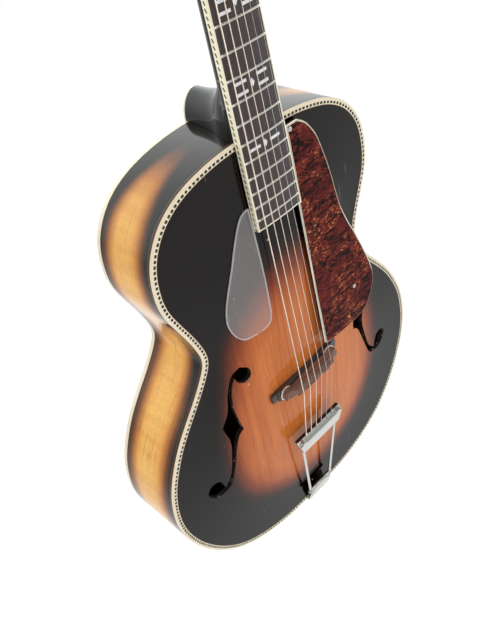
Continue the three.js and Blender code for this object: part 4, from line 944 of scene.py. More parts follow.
# %% Maple
MAPLE_SHADE = [(0.0, (1, 1, 1)), (0.25, (0.94, 0.84, 0.74)), (0.5, (0.62, 0.42, 0.3)),
               (0.75, (0.2, 0.11, 0.08)), (0.92, (0.03, 0.022, 0.02)), (1.0, (0.008, 0.007, 0.007))]
BACK_SEAM = 0.0005


def across_rib(paint):
    """Curl that crosses a bent rib: long over its depth and short along it."""
    return paint.place(scale=(1, 0.12, 1))


def book_matched(paint):
    """Curl that crosses the back's two halves and leans the same way off their seam."""
    spot = paint.place()
    away = abs(paint.part(spot, 0))
    sockets = {"X": away * 0.16, "Z": paint.part(spot, 2) + away * 0.22}
    return paint.node("ShaderNodeCombineXYZ", None, sockets)


def rib_grain(paint):
    sockets = {"X": paint.attribute("across"), "Y": paint.attribute("height") * 0.3}
    return paint.noise(paint.node("ShaderNodeCombineXYZ", None, sockets), 32, 4, 0.65)


def back_grain(paint):
    return paint.noise(paint.place(scale=(1, 1, 0.05)), 210, 3, 0.6)


def figured_maple(name, bands, curl, grain, light, deep, figure):
    paint = Paint(name)
    spot = paint.place()
    flame = paint.noise(curl(paint), 75, 2, 0.5, 0.4)
    fibres = paint.noise(spot, 300, 3, 0.6)
    broad = paint.noise(spot, 9, 2, 0.5)
    amber = paint.mix(paint.band(flame, 0.35, 0.7) * figure, light, deep)
    amber = paint.mix(paint.band(fibres, 0.4, 0.75) * 0.2, amber, (0.45, 0.18, 0.04))
    amber = paint.mix(paint.band(grain(paint), 0.54, 0.68) * 0.5, amber, (0.30, 0.11, 0.03))
    colored = paint.mix(1.0, amber, paint.ramp(bands(paint, broad), *MAPLE_SHADE), "MULTIPLY")
    height = paint.noise(spot, 45, 2, 0.5) + flame * 0.3
    return paint.surface(Base_Color=colored, Roughness=0.4, Coat_Weight=1.0, Coat_Roughness=0.05,
                         Coat_IOR=LACQUER_IOR, Specular_IOR_Level=0.0,
                         Normal=paint.bump(height, 0.12, 0.0005))


def rib_bands(paint, cloud):
    """How dark a rib is: stained along its edges, darker towards the tail, with a painted reflection and
    shade of the heel at the neck and painted shade in the waist.
    """
    across = paint.attribute("across")
    height = paint.attribute("height")
    front = 1 - paint.band(across, -0.08, 0.46)
    back = paint.band(across, 0.58, 1.02)
    from_middle = abs(paint.part(paint.place(), 0))
    # Painted reflection and shade of the black heel: darker beside the heel.
    neck = (1 - paint.band(from_middle, 0.022, 0.15)) * paint.band(height, 0.7, 0.8)
    tail = 1 - paint.band(height, 0.02, 0.15)
    # Painted shade in the waist's hollow, deepest towards the top's edge.
    waist = 1 - paint.band(abs(height - 0.665), 0.0, 0.12)
    return front + back * 0.9 + neck + tail + waist * (1 - across) * 0.3 + (cloud - 0.5) * 0.2


def back_bands(paint, cloud):
    """How dark the back is: round its rim, at the neck and on its seam."""
    rim = paint.attribute("rim")
    edge = 1 - paint.band(rim, 0.0, 0.07)
    neck = paint.band(paint.attribute("height"), 0.84, 1.02)
    seam = 1 - paint.band(abs(paint.part(paint.place(), 0)), BACK_SEAM / 2, BACK_SEAM)
    return edge * 0.95 + neck * 0.8 + seam * 0.45 + 0.12 + (cloud - 0.5) * 0.3


# %% Ribs and back
RIB_THICKNESS = 0.0026
RIB_CUTS = 14
RIB_FRONT = PLATE_THICKNESS + SEAM
CHUNKS = 40


def rib_row(share):
    """The depth of a line that lies at a share of the way across the ribs."""
    back = before_back(PLATE_THICKNESS + SEAM)
    return lambda z: RIB_FRONT + (back(z) - RIB_FRONT) * share


def make_ribs():
    outer = [(0, rib_row(share)) for share in np.linspace(0, 1, RIB_CUTS)]
    inner = [(RIB_THICKNESS, rib_row(1)), (RIB_THICKNESS, rib_row(0))]
    finish = figured_maple("figured_maple_rib", rib_bands, across_rib, rib_grain, (0.82, 0.45, 0.11),
                           (0.58, 0.26, 0.055), 0.35)
    ribs = piece("maple_ribs", strip_shell(outer + inner), finish, 50)
    points = coordinates(ribs)
    height = points[:, 2] - TAIL
    set_numbers(ribs, "across", (points[:, 1] - EDGE - RIB_FRONT) / (rib_row(1)(height) - RIB_FRONT))
    set_numbers(ribs, "height", height / BODY_LENGTH)
    hand_over(ribs, "root", "maple_body", "rib_bass", "rib_treble")


def rim_distance(points):
    """How far each point lies from the body's outline, seen from the front."""
    flat = points[:, [0, 2]] - [0, TAIL]
    return np.concatenate([np.linalg.norm(chunk[:, None] - OUTLINE[None], axis=2).min(1)
                           for chunk in np.array_split(flat, CHUNKS)])


def inner_back(x, z):
    return back_depth(x, z) - PLATE_THICKNESS


def make_back():
    shell = plate_shell(BACK_BINDING_WIDTH + SEAM, back_depth, inner_back)
    # The back's maple is mixed darker than the ribs': painted shade that makes up for the bright room light
    # on the back.
    finish = figured_maple("figured_maple_back", back_bands, book_matched, back_grain, (0.60, 0.27, 0.06),
                           (0.34, 0.115, 0.022), 0.8)
    back = piece("carved_back", shell, finish, 40)
    line_inside(back, back_depth, -1)
    true_normals(back, back_depth, 1)
    points = coordinates(back)
    set_numbers(back, "rim", rim_distance(points))
    set_numbers(back, "height", (points[:, 2] - TAIL) / BODY_LENGTH)
    hand_over(back, "root", "maple_body", "back_plate")


def refinish(node, finish):
    """Gives a frame node another finish and leaves its shape alone."""
    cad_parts[node].data.materials.clear()
    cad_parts[node].data.materials.append(finish)


make_ribs()
make_back()
# The linings, bars and blocks inside take the same darkened wood, painted shade.
for name in ("lining_top", "lining_back", "tone_bar"):
    refinish(f"{name}_bass", inner_wood_painted_shade)
    refinish(f"{name}_treble", inner_wood_painted_shade)
refinish("tail_block", inner_wood_painted_shade)
refinish("neck_block", inner_wood_painted_shade)

# %% [markdown]
# Frets, dashes and screws are all one small shape that comes again and again. A Geometry Nodes tree places
# them: it has named inputs for counts and sizes, and its result is turned into a plain mesh, because an
# exported model keeps no instances.

# %% Geometry rules


class Rule(Graph):
    """A geometry tree with named inputs. run() gives a plain piece."""

    def __init__(self, name, **inputs):
        self.tree = bpy.data.node_groups.new(name, "GeometryNodeTree")
        face = self.tree.interface
        kinds = {int: "NodeSocketInt", float: "NodeSocketFloat", type(None): "NodeSocketObject"}
        face.new_socket("Geometry", in_out="INPUT", socket_type="NodeSocketGeometry")
        for key, value in inputs.items():
            socket = face.new_socket(key, in_out="INPUT", socket_type=kinds[type(value)])
            if value is not None:
                socket.default_value = value
        face.new_socket("finish", in_out="INPUT", socket_type="NodeSocketMaterial")
        face.new_socket("Geometry", in_out="OUTPUT", socket_type="NodeSocketGeometry")
        self.entry = self.tree.nodes.new("NodeGroupInput")

    def given(self, name):
        return Value(self, self.entry.outputs[name])

    def vector(self, **parts):
        return self.node("ShaderNodeCombineXYZ", None, {key.upper(): v for key, v in parts.items()})

    def end(self, geometry):
        solid = self.node("GeometryNodeRealizeInstances", None, {"Geometry": geometry})
        sockets = {"Geometry": solid, "Material": self.given("finish")}
        painted = self.node("GeometryNodeSetMaterial", None, sockets)
        out = self.tree.nodes.new("NodeGroupOutput")
        self.tree.links.new(painted.socket, out.inputs[0])

    def run(self, name, base, finish, crease=35, **inputs):
        """Runs the rule on a base mesh and makes the result a plain mesh."""
        made = bpy.data.objects.new(name, base)
        bpy.context.scene.collection.objects.link(made)
        change = made.modifiers.new(name, "NODES")
        change.node_group = self.tree
        for item in self.tree.interface.items_tree:
            if item.in_out == "INPUT" and item.name in inputs:
                change[item.identifier] = inputs[item.name]
            if item.in_out == "INPUT" and item.name == "finish":
                change[item.identifier] = finish
        settle(made)
        shade(made, crease)
        return made


def line_mesh(points, loop=False):
    """A bare line of edges, for a rule to run along."""
    mesh = bpy.data.meshes.new("line")
    count = len(points)
    edges = [(i, (i + 1) % count) for i in range(count if loop else count - 1)]
    mesh.from_pydata(np.asarray(points).tolist(), edges, [])
    return mesh


def set_place(made, matrix):
    """Moves a piece inside its mesh, so that its object stays at the origin."""
    made.data.transform(matrix)
    return made


# %% [markdown]
# A checkered strip runs inside the top's binding: black blocks on cream, with a cream line on each side.
# The blocks are spread evenly along the edge, and a little chance in their length keeps them from looking
# printed.

# %% Checkered strip
CHECK_INSET = 0.0039
CHECK_WIDTH = 0.0023
CHECK_PITCH = 0.0048
CHECK_LENGTH = 0.0029
CHECK_PROUD = 0.00012
GROUND_INNER = 0.0058
GROUND_PROUD = 0.00004
AMBER_WIDTH = 0.00035
AMBER_PROUD = 0.00002
RIBBON_SUNK = 0.0006


def dash_rule():
    """A row of flat blocks along a line: evenly spread, slanted alike and slightly uneven in length."""
    rule = Rule("dash_row", dashes=10, length=0.002, width=0.001, height=0.0002, slant=0.0, uneven=0.1,
                seed=1)
    curve = rule.node("GeometryNodeMeshToCurve", None, {"Mesh": rule.given("Geometry")})
    sockets = {"Curve": curve, "Count": rule.given("dashes")}
    even = rule.node("GeometryNodeResampleCurve", {"mode": "COUNT"}, sockets)
    sockets = {"Vector": rule.node("GeometryNodeInputTangent")}
    along = rule.node("FunctionNodeAlignRotationToVector", {"axis": "X", "pivot_axis": "Y"}, sockets)
    lean = rule.node("FunctionNodeEulerToRotation", None, {"Euler": rule.vector(y=rule.given("slant"))})
    sockets = {"Rotation": along, "Rotate By": lean}
    turned_by = rule.node("FunctionNodeRotateRotation", {"rotation_space": "LOCAL"}, sockets)
    size = rule.vector(x=rule.given("length"), y=rule.given("height"), z=rule.given("width"))
    brick = rule.node("GeometryNodeMeshCube", None, {"Size": size})
    sockets = {2: 1 - rule.given("uneven"), 3: 1 + rule.given("uneven"), "Seed": rule.given("seed")}
    chance = rule.node("FunctionNodeRandomValue", {"data_type": "FLOAT"}, sockets, 1)
    sockets = {"Points": even, "Instance": brick, "Rotation": turned_by,
               "Scale": rule.vector(x=chance, y=1, z=1)}
    rule.end(rule.node("GeometryNodeInstanceOnPoints", None, sockets))
    return rule


dash_row = dash_rule()


def jet(name, tint):
    paint = Paint(name)
    cloud = paint.noise(paint.place(), 90, 3, 0.6)
    color = paint.mix(cloud, tint, tuple(1.8 * v for v in tint))
    return paint.surface(Base_Color=color, Roughness=0.28 + cloud * 0.15, Coat_Weight=0.5,
                         Coat_Roughness=0.08, Coat_IOR=LACQUER_IOR, Specular_IOR_Level=0.1)


check_black = jet("check_black", (0.012, 0.011, 0.012))
amber_edge = cream("amber_edge", (0.42, 0.17, 0.05), (0.2, 0.07, 0.02))


def ribbon_shell(start, stop, proud):
    """A flat strip on the top between two insets. It stands a hair proud and reaches into the wood."""
    rings = []
    for distance, lift in ((start, RIBBON_SUNK), (start, -proud), (stop, -proud), (stop, RIBBON_SUNK)):
        x, z = inset(INWARD * distance).T
        rings.append(on_body(x, top_depth(x, z) + lift, z))
    return lofted(rings, loop=True)


def make_checks():
    shell = ribbon_shell(TOP_BINDING_WIDTH + AMBER_PROUD, GROUND_INNER, GROUND_PROUD)
    hand_over(piece("checker_ground", shell, top_ivory, 50), "root", "ivory_binding")
    shell = ribbon_shell(GROUND_INNER, GROUND_INNER + AMBER_WIDTH, AMBER_PROUD)
    hand_over(piece("amber_line", shell, amber_edge, 50), "root", "ivory_binding")
    x, z = inset(INWARD * CHECK_INSET).T
    line = on_body(x, np.full(len(x), -GROUND_PROUD), z)
    length = np.linalg.norm(np.roll(line, -1, 0) - line, axis=1).sum()
    count = int(length / CHECK_PITCH)
    checks = dash_row.run("checker_blocks", line_mesh(line, True), check_black, dashes=count,
                          length=CHECK_LENGTH, width=CHECK_WIDTH, height=2 * CHECK_PROUD, uneven=0.12)
    print("checks", count, "along", round(length, 3), "m")
    hand_over(checks, "root", "black_lacquer")


make_checks()

# %% [markdown]
# The neck, the headstock and the bridge each lean their own way. Each gets a matrix that starts where the
# piece starts on the real guitar, so that everything on it is measured straight along it: along the board
# from the nut, up the headstock from its foot and across the slanted bridge.

# %% Places along the strings
SCALE_LENGTH = 0.62865
BODY_FRET = 14
FRETS = 19
BOARD_HEIGHT = 0.0065
BODY_FRET_INSET = 0.002
NECK_ANGLE = math.radians(4.12)
HEAD_ANGLE = math.radians(13)
BOARD_THICKNESS = 0.006
NUT_LENGTH = 0.005
CAMBER_RADIUS = 0.305
SPAN_AT_NUT = 0.0413
SPAN_AT_LAST = 0.0533
FIT = 0.0003


def fret_place(fret):
    return SCALE_LENGTH * (1 - 2 ** (-fret / 12))


BOARD_END = fret_place(FRETS) + 0.77 * (fret_place(FRETS + 1) - fret_place(FRETS))
PLATE = Matrix.Translation((0, EDGE, TAIL))
NUT_PLACE = (0, -BOARD_HEIGHT + fret_place(BODY_FRET) * math.sin(NECK_ANGLE),
             BODY_LENGTH - BODY_FRET_INSET + fret_place(BODY_FRET) * math.cos(NECK_ANGLE))
NECK = PLATE @ Matrix.Translation(NUT_PLACE) @ Matrix.Rotation(-NECK_ANGLE, 4, "X")
NECK_TOP = BOARD_THICKNESS + FIT
HEAD = NECK @ Matrix.Translation((0, NECK_TOP, NUT_LENGTH)) @ Matrix.Rotation(-HEAD_ANGLE, 4, "X")
BRIDGE_HEIGHT = NUT_PLACE[2] - SCALE_LENGTH * math.cos(NECK_ANGLE)
BRIDGE_SLANT = math.radians(2.7)
BRIDGE = PLATE @ Matrix.Translation((0, 0, BRIDGE_HEIGHT)) @ Matrix.Rotation(-BRIDGE_SLANT, 4, "Y")


def board_half(along):
    return (SPAN_AT_NUT + (SPAN_AT_LAST - SPAN_AT_NUT) * along / fret_place(FRETS)) / 2


def camber(x, half):
    return np.sqrt(CAMBER_RADIUS ** 2 - half ** 2) - np.sqrt(CAMBER_RADIUS ** 2 - x ** 2)


print("nut at", [round(v, 4) for v in NECK.translation])

# %% [markdown]
# The neck is one piece of wood: a half-round shaft, a heel that grows out of it and a flat headstock that
# leans back. Its blank is a loft of half-round rings that turn into flat ones, and the heel is a second
# loft that follows the body's edge. A union joins them, and cutters make room for the rod and the tuners'
# posts.

# %% Neck
BINDING_WIDTH = 0.0015
SHAFT_DEPTHS = (0.0145, 0.018)
SHAFT_END = fret_place(BODY_FRET) - BODY_FRET_INSET - 0.0026
HEAD_THICKNESS = 0.015
HEAD_LENGTH = 0.172
HEAD_HALF = 0.039
HEAD_CORNER = 0.3
HEAD_HEIGHTS = (0.01, 0.05, 0.12, 0.19, 0.34, 0.62, 0.88, 0.925, 0.95, 0.975, 0.992, 1)
HEAD_HALVES = (0.57, 0.585, 0.68, 0.83, 0.88, 0.93, 1, 0.98, 0.7, 0.36, 0.2, 0.06)
HEEL_HALF = 0.027
HEEL_REACH = 0.060
HEEL_CAP = 0.0022
HEEL_DEPTHS = (0.006, 0.042, 0.084, 0.2, 0.28, 0.34, 0.41, 0.5, 0.62, 0.8, 1)
HEEL_HALVES = (1, 1, 1, 0.97, 0.92, 0.87, 0.8, 0.735, 0.68, 0.635, 0.61)
HEEL_REACHES = (0.08, 0.47, 1, 0.97, 0.88, 0.75, 0.61, 0.51, 0.455, 0.42, 0.41)
POST_OFFSET = 0.024
POST_PLACES = (0.042, 0.0777, 0.1134)
POST_BORE = 0.0034
ARC_STEPS = 40
ROD_HALF = 0.0027
ROD_DEPTH = 0.0111
ROD_START = 0.0033
POCKET_HALF = 0.0045
POCKET_DEPTH = 0.0123
POCKET_END = 0.029
OVERRUN = 0.001
CAP_EASE = ((0.0006, 0), (0.00015, 0.0002), (0, 0.0006))


def neck_ring(half, depth, power, matrix):
    """Half of a rounded ring: power 1 gives a half circle, and less gives a flatter back."""
    angles = np.linspace(0, math.pi, ARC_STEPS + 1)
    cosine, sine = np.cos(angles), np.maximum(np.sin(angles), 0)
    ring = np.stack([half * np.sign(cosine) * np.abs(cosine) ** power, depth * sine ** power, 0 * angles], -1)
    return placed(ring, matrix)


def blank_shell():
    rings = []
    for along in np.linspace(SHAFT_END, HEAD_THICKNESS / 2, 24):
        depth = SHAFT_DEPTHS[0] + (SHAFT_DEPTHS[1] - SHAFT_DEPTHS[0]) * along / SHAFT_END
        half = board_half(along) + BINDING_WIDTH
        rings.append(neck_ring(half, depth, 1, NECK @ Matrix.Translation((0, NECK_TOP, -along))))
    for share, half in smooth_line(list(zip(HEAD_HEIGHTS, HEAD_HALVES)), 4):
        power = 1 + (HEAD_CORNER - 1) * float(eased(share / 0.14))
        place = HEAD @ Matrix.Translation((0, 0, share * HEAD_LENGTH))
        rings.append(neck_ring(half * HEAD_HALF, HEAD_THICKNESS, power, place))
    return lofted(rings)


def shoulder(x):
    """How high the body's edge lies beside the neck."""
    near = OUTLINE[OUTLINE[:, 1] > 0.93 * BODY_LENGTH]
    near = near[np.argsort(near[:, 0])]
    return np.interp(x, near[:, 0], near[:, 1])


def heel_ring(depth, half, reach):
    """The heel's section: flat along the body's edge, with a rounded nose."""
    across = np.linspace(-half, half, 17)
    nose = np.linspace(0, math.pi, 33)[1:-1]
    x = np.concatenate([across, half * np.cos(nose)])
    z = np.concatenate([shoulder(across), shoulder(half) + reach * np.sin(nose)]) + FIT
    return on_body(x, np.full(len(x), depth), z)


def heel_shell():
    deep = RIB_NECK_DEPTH - HEEL_CAP - FIT
    rows = np.stack([HEEL_DEPTHS, HEEL_HALVES, HEEL_REACHES], -1)
    return lofted([heel_ring(d * deep, h * HEEL_HALF, r * HEEL_REACH) for d, h, r in smooth_line(rows, 3)])


def black_lacquer():
    paint = Paint("black_lacquer")
    spot = paint.place()
    cloud = paint.noise(spot, 20, 3, 0.55)
    haze = paint.noise(paint.place(scale=(1, 1, 0.15)), 160, 3, 0.6)
    color = paint.mix(cloud, (0.005, 0.005, 0.0055), (0.012, 0.010, 0.009))
    chips = paint.band(paint.noise(spot, 140, 1, 0.5), 0.80, 0.805)
    worn = paint.mix(chips, color, (0.25, 0.14, 0.07))
    return paint.surface(Base_Color=worn, Roughness=0.4 + haze * 0.12, Coat_Weight=1.0, Coat_Roughness=0.06,
                         Coat_IOR=LACQUER_IOR, Specular_IOR_Level=0.0,
                         Normal=paint.bump(cloud + haze * 0.1, 0.12, 0.0006))


lacquer = black_lacquer()


def drill_posts():
    """Six bars that bore the headstock for the tuners' posts."""
    bar = drill(POST_BORE, -OVERRUN, HEAD_THICKNESS + OVERRUN, 24)
    places = [Matrix.Translation((side * POST_OFFSET, 0, z)) for side in (-1, 1) for z in POST_PLACES]
    return joined(*[moved(bar, HEAD @ place) for place in places])


def make_neck():
    neck = piece("neck_wood", blank_shell(), lacquer, 40)
    carve(neck, piece("heel", heel_shell(), lacquer), "UNION")
    channel = block((-ROD_HALF, NECK_TOP - OVERRUN, ROD_START - fret_place(BODY_FRET)),
                    (ROD_HALF, NECK_TOP + ROD_DEPTH, NUT_LENGTH + OVERRUN))
    pocket = block((-POCKET_HALF, NECK_TOP - OVERRUN, NUT_LENGTH),
                   (POCKET_HALF, NECK_TOP + POCKET_DEPTH, POCKET_END))
    for cutter in (channel, pocket):
        carve(neck, piece("cutter", moved(cutter, NECK), lacquer))
    carve(neck, piece("bores", drill_posts(), lacquer), crease=38)
    hand_over(neck, "root", "black_lacquer", "neck")
    half, reach = HEEL_HALVES[-1] * HEEL_HALF, HEEL_REACHES[-1] * HEEL_REACH
    rings = [heel_ring(RIB_NECK_DEPTH - up, half - ease_by, reach - ease_by)
             for up, ease_by in ((HEEL_CAP, 0), *CAP_EASE)]
    hand_over(piece("heel_plate", lofted(rings), ivory, 50), "root", "ivory_binding", "heel_cap")


make_neck()

# %% [markdown]
# The board is dark rosewood with open pores. It is cambered, so the frets are bent over it: each is a
# straight bar with a round crown, placed by the rule of twelfths and then sunk by the square of its
# distance from the middle.

# %% Fingerboard and frets
FRET_HEIGHT = 0.0009
FRET_PROFILE = [(-0.0011, 0.0004), (-0.0011, -0.0001), (-0.00095, -0.0005), (-0.0006, -0.00078),
                (-0.0002, -0.00089), (0.0002, -0.00089), (0.0006, -0.00078), (0.00095, -0.0005),
                (0.0011, -0.0001), (0.0011, 0.0004)]
FRET_ENDS = ((-1, 0.35), (-0.985, 0.8), (-0.965, 1))
FRET_BENDS = 13
BOARD_CUTS = 40
BOARD_STRIPS = 25


def board_ring(along):
    half = board_half(along)
    x = np.linspace(-half, half, BOARD_STRIPS)
    top = np.stack([x, camber(x, half), np.full(BOARD_STRIPS, -along)], -1)
    low = [[half, BOARD_THICKNESS, -along], [-half, BOARD_THICKNESS, -along]]
    return np.concatenate([top, low])


def rosewood(name, light, dark, axis):
    scale = [1, 1, 1]
    scale[axis] = 0.035
    paint = Paint(name)
    grain = paint.noise(paint.place(scale=tuple(scale)), 420, 4, 0.65)
    scale[axis] = 0.1
    pores = paint.band(paint.noise(paint.place(scale=tuple(scale)), 1500, 2, 0.6), 0.62, 0.7)
    broad = paint.noise(paint.place(), 30, 3, 0.5)
    wood = paint.mix(paint.band(grain, 0.3, 0.7), dark, light)
    wood = paint.mix(broad * 0.5, wood, dark)
    wood = paint.mix(pores * 0.7, wood, tuple(0.3 * v for v in dark))
    return paint.surface(Base_Color=wood, Roughness=0.42 + grain * 0.2, Coat_Weight=0.15, Coat_Roughness=0.3,
                         Normal=paint.bump(grain * 0.4 - pores, 0.35, 0.0003))


board_wood = rosewood("board_rosewood", (0.062, 0.037, 0.035), (0.026, 0.016, 0.016), 2)


def nickel(name, tint, polish, tarnish):
    paint = Paint(name)
    spot = paint.place()
    wear = paint.noise(spot, 70, 4, 0.6)
    fine = paint.noise(spot, 900, 2, 0.6)
    color = paint.mix(paint.band(wear, 0.45, 0.8) * tarnish, tint, tuple(0.55 * v for v in tint))
    return paint.surface(Base_Color=color, Metallic=1.0, Roughness=polish + wear * 0.14,
                         Normal=paint.bump(wear + fine * 0.3, 0.12, 0.0002))


fret_metal = nickel("fret_metal", (0.72, 0.70, 0.63), 0.2, 0.3)


def fret_rule():
    """A bar at each fret's place, as wide as the board and bent over its camber."""
    rule = Rule("fret_row", frets=19, scale_length=0.6, half_at_nut=0.02, half_gain=0.01, camber_radius=0.3)
    points = rule.node("GeometryNodePoints", None, {"Count": rule.given("frets")})
    number = rule.node("GeometryNodeInputIndex") + 1
    along = rule.given("scale_length") * (1 - 2 ** (number / -12))
    sockets = {"Geometry": points, "Position": rule.vector(z=along * -1)}
    spread = rule.node("GeometryNodeSetPosition", None, sockets)
    half = rule.given("half_at_nut") + along * rule.given("half_gain")
    sockets = {"Points": spread, "Instance": rule.given("Geometry"), "Scale": rule.vector(x=half, y=1, z=1)}
    bars = rule.node("GeometryNodeRealizeInstances", None, {
        "Geometry": rule.node("GeometryNodeInstanceOnPoints", None, sockets)})
    spot = rule.node("GeometryNodeInputPosition")
    x, z = rule.part(spot, 0), rule.part(spot, 2)
    reach = rule.given("half_at_nut") - z * rule.given("half_gain")
    drop = (x * x - reach * reach) / (2 * rule.given("camber_radius"))
    rule.end(rule.node("GeometryNodeSetPosition", None, {"Geometry": bars, "Offset": rule.vector(y=drop)}))
    return rule


fret_row = fret_rule()


def fret_shell():
    """One straight fret from -1 to 1, lower at both ends."""
    middle = [(x, 1) for x in np.linspace(-0.9, 0.9, FRET_BENDS)]
    rows = [*FRET_ENDS, *middle, *[(-x, height) for x, height in FRET_ENDS[::-1]]]
    return lofted([[(x, y * height if y < 0 else y, z) for z, y in FRET_PROFILE] for x, height in rows])


def make_board():
    shell = lofted([board_ring(along) for along in np.linspace(0, BOARD_END, BOARD_CUTS)])
    board = piece("cambered_board", moved(shell, NECK), board_wood, 30)
    hand_over(board, "root", "rosewood", "fingerboard")
    points, faces = fret_shell()
    base = bpy.data.meshes.new("fret")
    base.from_pydata(points.tolist(), [], faces)
    base.validate()
    gain = (SPAN_AT_LAST - SPAN_AT_NUT) / 2 / fret_place(FRETS)
    frets = fret_row.run("frets", base, fret_metal, 40, frets=FRETS, scale_length=SCALE_LENGTH,
                         half_at_nut=SPAN_AT_NUT / 2, half_gain=gain, camber_radius=CAMBER_RADIUS)
    facing_out(frets)
    hand_over(set_place(frets, NECK), "root", "nickel")


make_board()

# %% [markdown]
# Pearl inlays show the player where the hand is: bars beside a small diamond. Each is a thin slab that
# follows the board's camber.

# %% Inlays
BAR_SPAN = (0.0058, 0.0178)
BAR_HALF = 0.0013
ROW_OFFSET = 0.0043
DIAMOND = (0.0024, 0.0036)
INLAY_PROUD = 0.0001
INLAY_SUNK = 0.0006
SINGLE_ROWS = (3, 5, 7, 15)
DOUBLE_ROWS = (9, 12)


def pearl():
    paint = Paint("pearl_inlay")
    spot = paint.place()
    flake = paint.cells(spot, 420)
    wave = paint.noise(spot, 260, 3, 0.6, 1.5)
    color = paint.mix(wave, (0.80, 0.80, 0.78), (0.60, 0.66, 0.70))
    color = paint.mix(paint.band(flake, 0.3, 0.8) * 0.4, color, (0.90, 0.84, 0.82))
    return paint.surface(Base_Color=color, Roughness=0.2 + wave * 0.2, Coat_Weight=0.4, Coat_Roughness=0.1,
                         Normal=paint.bump(wave, 0.1, 0.0003))


shell_pearl = pearl()


def inlay(flat):
    """A slab over the board from (x, along) corners, whose corners follow the board's camber."""
    flat = np.asarray(flat, float)
    top = [(x, camber(x, board_half(a)) - INLAY_PROUD, -a) for x, a in flat]
    low = [(x, camber(x, board_half(a)) + INLAY_SUNK, -a) for x, a in flat]
    return lofted([top, low])


def bar(near, far, along):
    x = np.linspace(near, far, 7)
    row = [(v, along - BAR_HALF) for v in x] + [(v, along + BAR_HALF) for v in x[::-1]]
    return inlay(row)


def make_inlays():
    shells = []
    for fret in SINGLE_ROWS + DOUBLE_ROWS:
        middle = (fret_place(fret) + fret_place(fret - 1)) / 2
        rows = (-ROW_OFFSET, ROW_OFFSET) if fret in DOUBLE_ROWS else (0,)
        for side in (-1, 1):
            shells += [bar(side * BAR_SPAN[0], side * BAR_SPAN[1], middle + row) for row in rows]
        wide, long = DIAMOND
        corners = [(-wide, 0), (0, -long), (wide, 0), (0, long)]
        shells.append(inlay([(x, middle + a) for x, a in corners]))
    inlays = piece("board_inlays", moved(joined(*shells), NECK), shell_pearl, 30)
    hand_over(inlays, "root", "pearl_button")


make_inlays()

# %% [markdown]
# Cream binding covers the board's edges and its end. Its sides carry slanted brown dashes, which the
# picture shows all the way down the bass side.

# %% Board's binding
DASH_PITCH = 0.0052
DASH_START = 0.004
DASH_DEPTH = 0.0033
DASH_SLANT = 0.42
BOARD_EDGE_ROUND = 0.0004
GLUE_LINE = 0.00002
board_ivory = cream("board_ivory", (0.93, 0.87, 0.68), (0.78, 0.66, 0.40))
dash_brown = jet("dash_brown", (0.055, 0.034, 0.016))


def binding_ring(side, along):
    half = board_half(along)
    inner, outer = side * (half + GLUE_LINE), side * (half + BINDING_WIDTH)
    corner = 0.3 * BOARD_EDGE_ROUND
    return [(inner, 0.0, -along), (outer - side * BOARD_EDGE_ROUND, 0.0, -along),
            (outer - side * corner, corner, -along), (outer, BOARD_EDGE_ROUND, -along),
            (outer, BOARD_THICKNESS, -along), (inner, BOARD_THICKNESS, -along)]


def end_ring(x):
    top, corner = float(camber(abs(x), board_half(BOARD_END))), 0.3 * BOARD_EDGE_ROUND
    near, far = -BOARD_END - GLUE_LINE, -BOARD_END - BINDING_WIDTH
    return [(x, top, near), (x, top, far + BOARD_EDGE_ROUND), (x, top + corner, far + corner),
            (x, top + BOARD_EDGE_ROUND, far), (x, BOARD_THICKNESS, far), (x, BOARD_THICKNESS, near)]


def edge_place(side):
    """A matrix on the binding's outer side: X runs down the neck and Y points away from the board."""
    near, far = board_half(0) + BINDING_WIDTH, board_half(BOARD_END) + BINDING_WIDTH
    along = Vector((side * (far - near), 0, -BOARD_END)).normalized()
    out = Vector((0, 1, 0)).cross(along).normalized()
    out = out if out.x * side > 0 else -out
    turn = Matrix((along, out, along.cross(out))).transposed().to_4x4()
    return NECK @ Matrix.Translation((side * near, DASH_DEPTH, 0)) @ turn


def make_board_binding():
    rows = np.linspace(0, BOARD_END + BINDING_WIDTH, 12)
    shells = [lofted([binding_ring(side, along) for along in rows]) for side in (-1, 1)]
    half = board_half(BOARD_END) - 0.00003
    shells.append(lofted([end_ring(x) for x in np.linspace(-half, half, 17)]))
    binding = piece("board_edge_binding", moved(joined(*shells), NECK), board_ivory, 50)
    hand_over(binding, "root", "ivory_binding", "fingerboard_binding")
    line, dashes = [(DASH_START, 0, 0), (BOARD_END, 0, 0)], int((BOARD_END - DASH_START) / DASH_PITCH)
    for side, name in ((-1, "side_dashes_bass"), (1, "side_dashes_treble")):
        row = dash_row.run(name, line_mesh(line), dash_brown, dashes=dashes, length=0.0034, width=0.0014,
                           height=0.00016, slant=-DASH_SLANT * side, uneven=0.12)
        set_place(row, edge_place(side))
        facing_out(row)
        hand_over(row, "root", "ivory_binding")


make_board_binding()

# %% [markdown]
# Many pieces already have the right form in the frame and only want soft edges. Their solids are copied,
# their flat faces are joined up again, and a bevel rounds what would be sharp.

# %% Softened pieces
SOLID_WELD = 2e-5
FLAT_ANGLE = math.radians(1.5)


def softened(name, node, finish, width):
    """A copy of a frame node's solid with its sharp edges rounded."""
    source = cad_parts[node].data
    mesh = bpy.data.meshes.new(name)
    mesh.from_pydata([v.co[:] for v in source.vertices], [], [p.vertices[:] for p in source.polygons])
    work = bmesh.new()
    work.from_mesh(mesh)
    bmesh.ops.remove_doubles(work, verts=work.verts, dist=SOLID_WELD)
    bmesh.ops.dissolve_limit(work, angle_limit=FLAT_ANGLE, verts=work.verts, edges=work.edges)
    bmesh.ops.recalc_face_normals(work, faces=work.faces)
    work.to_mesh(mesh)
    work.free()
    mesh.materials.append(finish)
    made = bpy.data.objects.new(name, mesh)
    bpy.context.scene.collection.objects.link(made)
    return ease(made, width, crease=40)


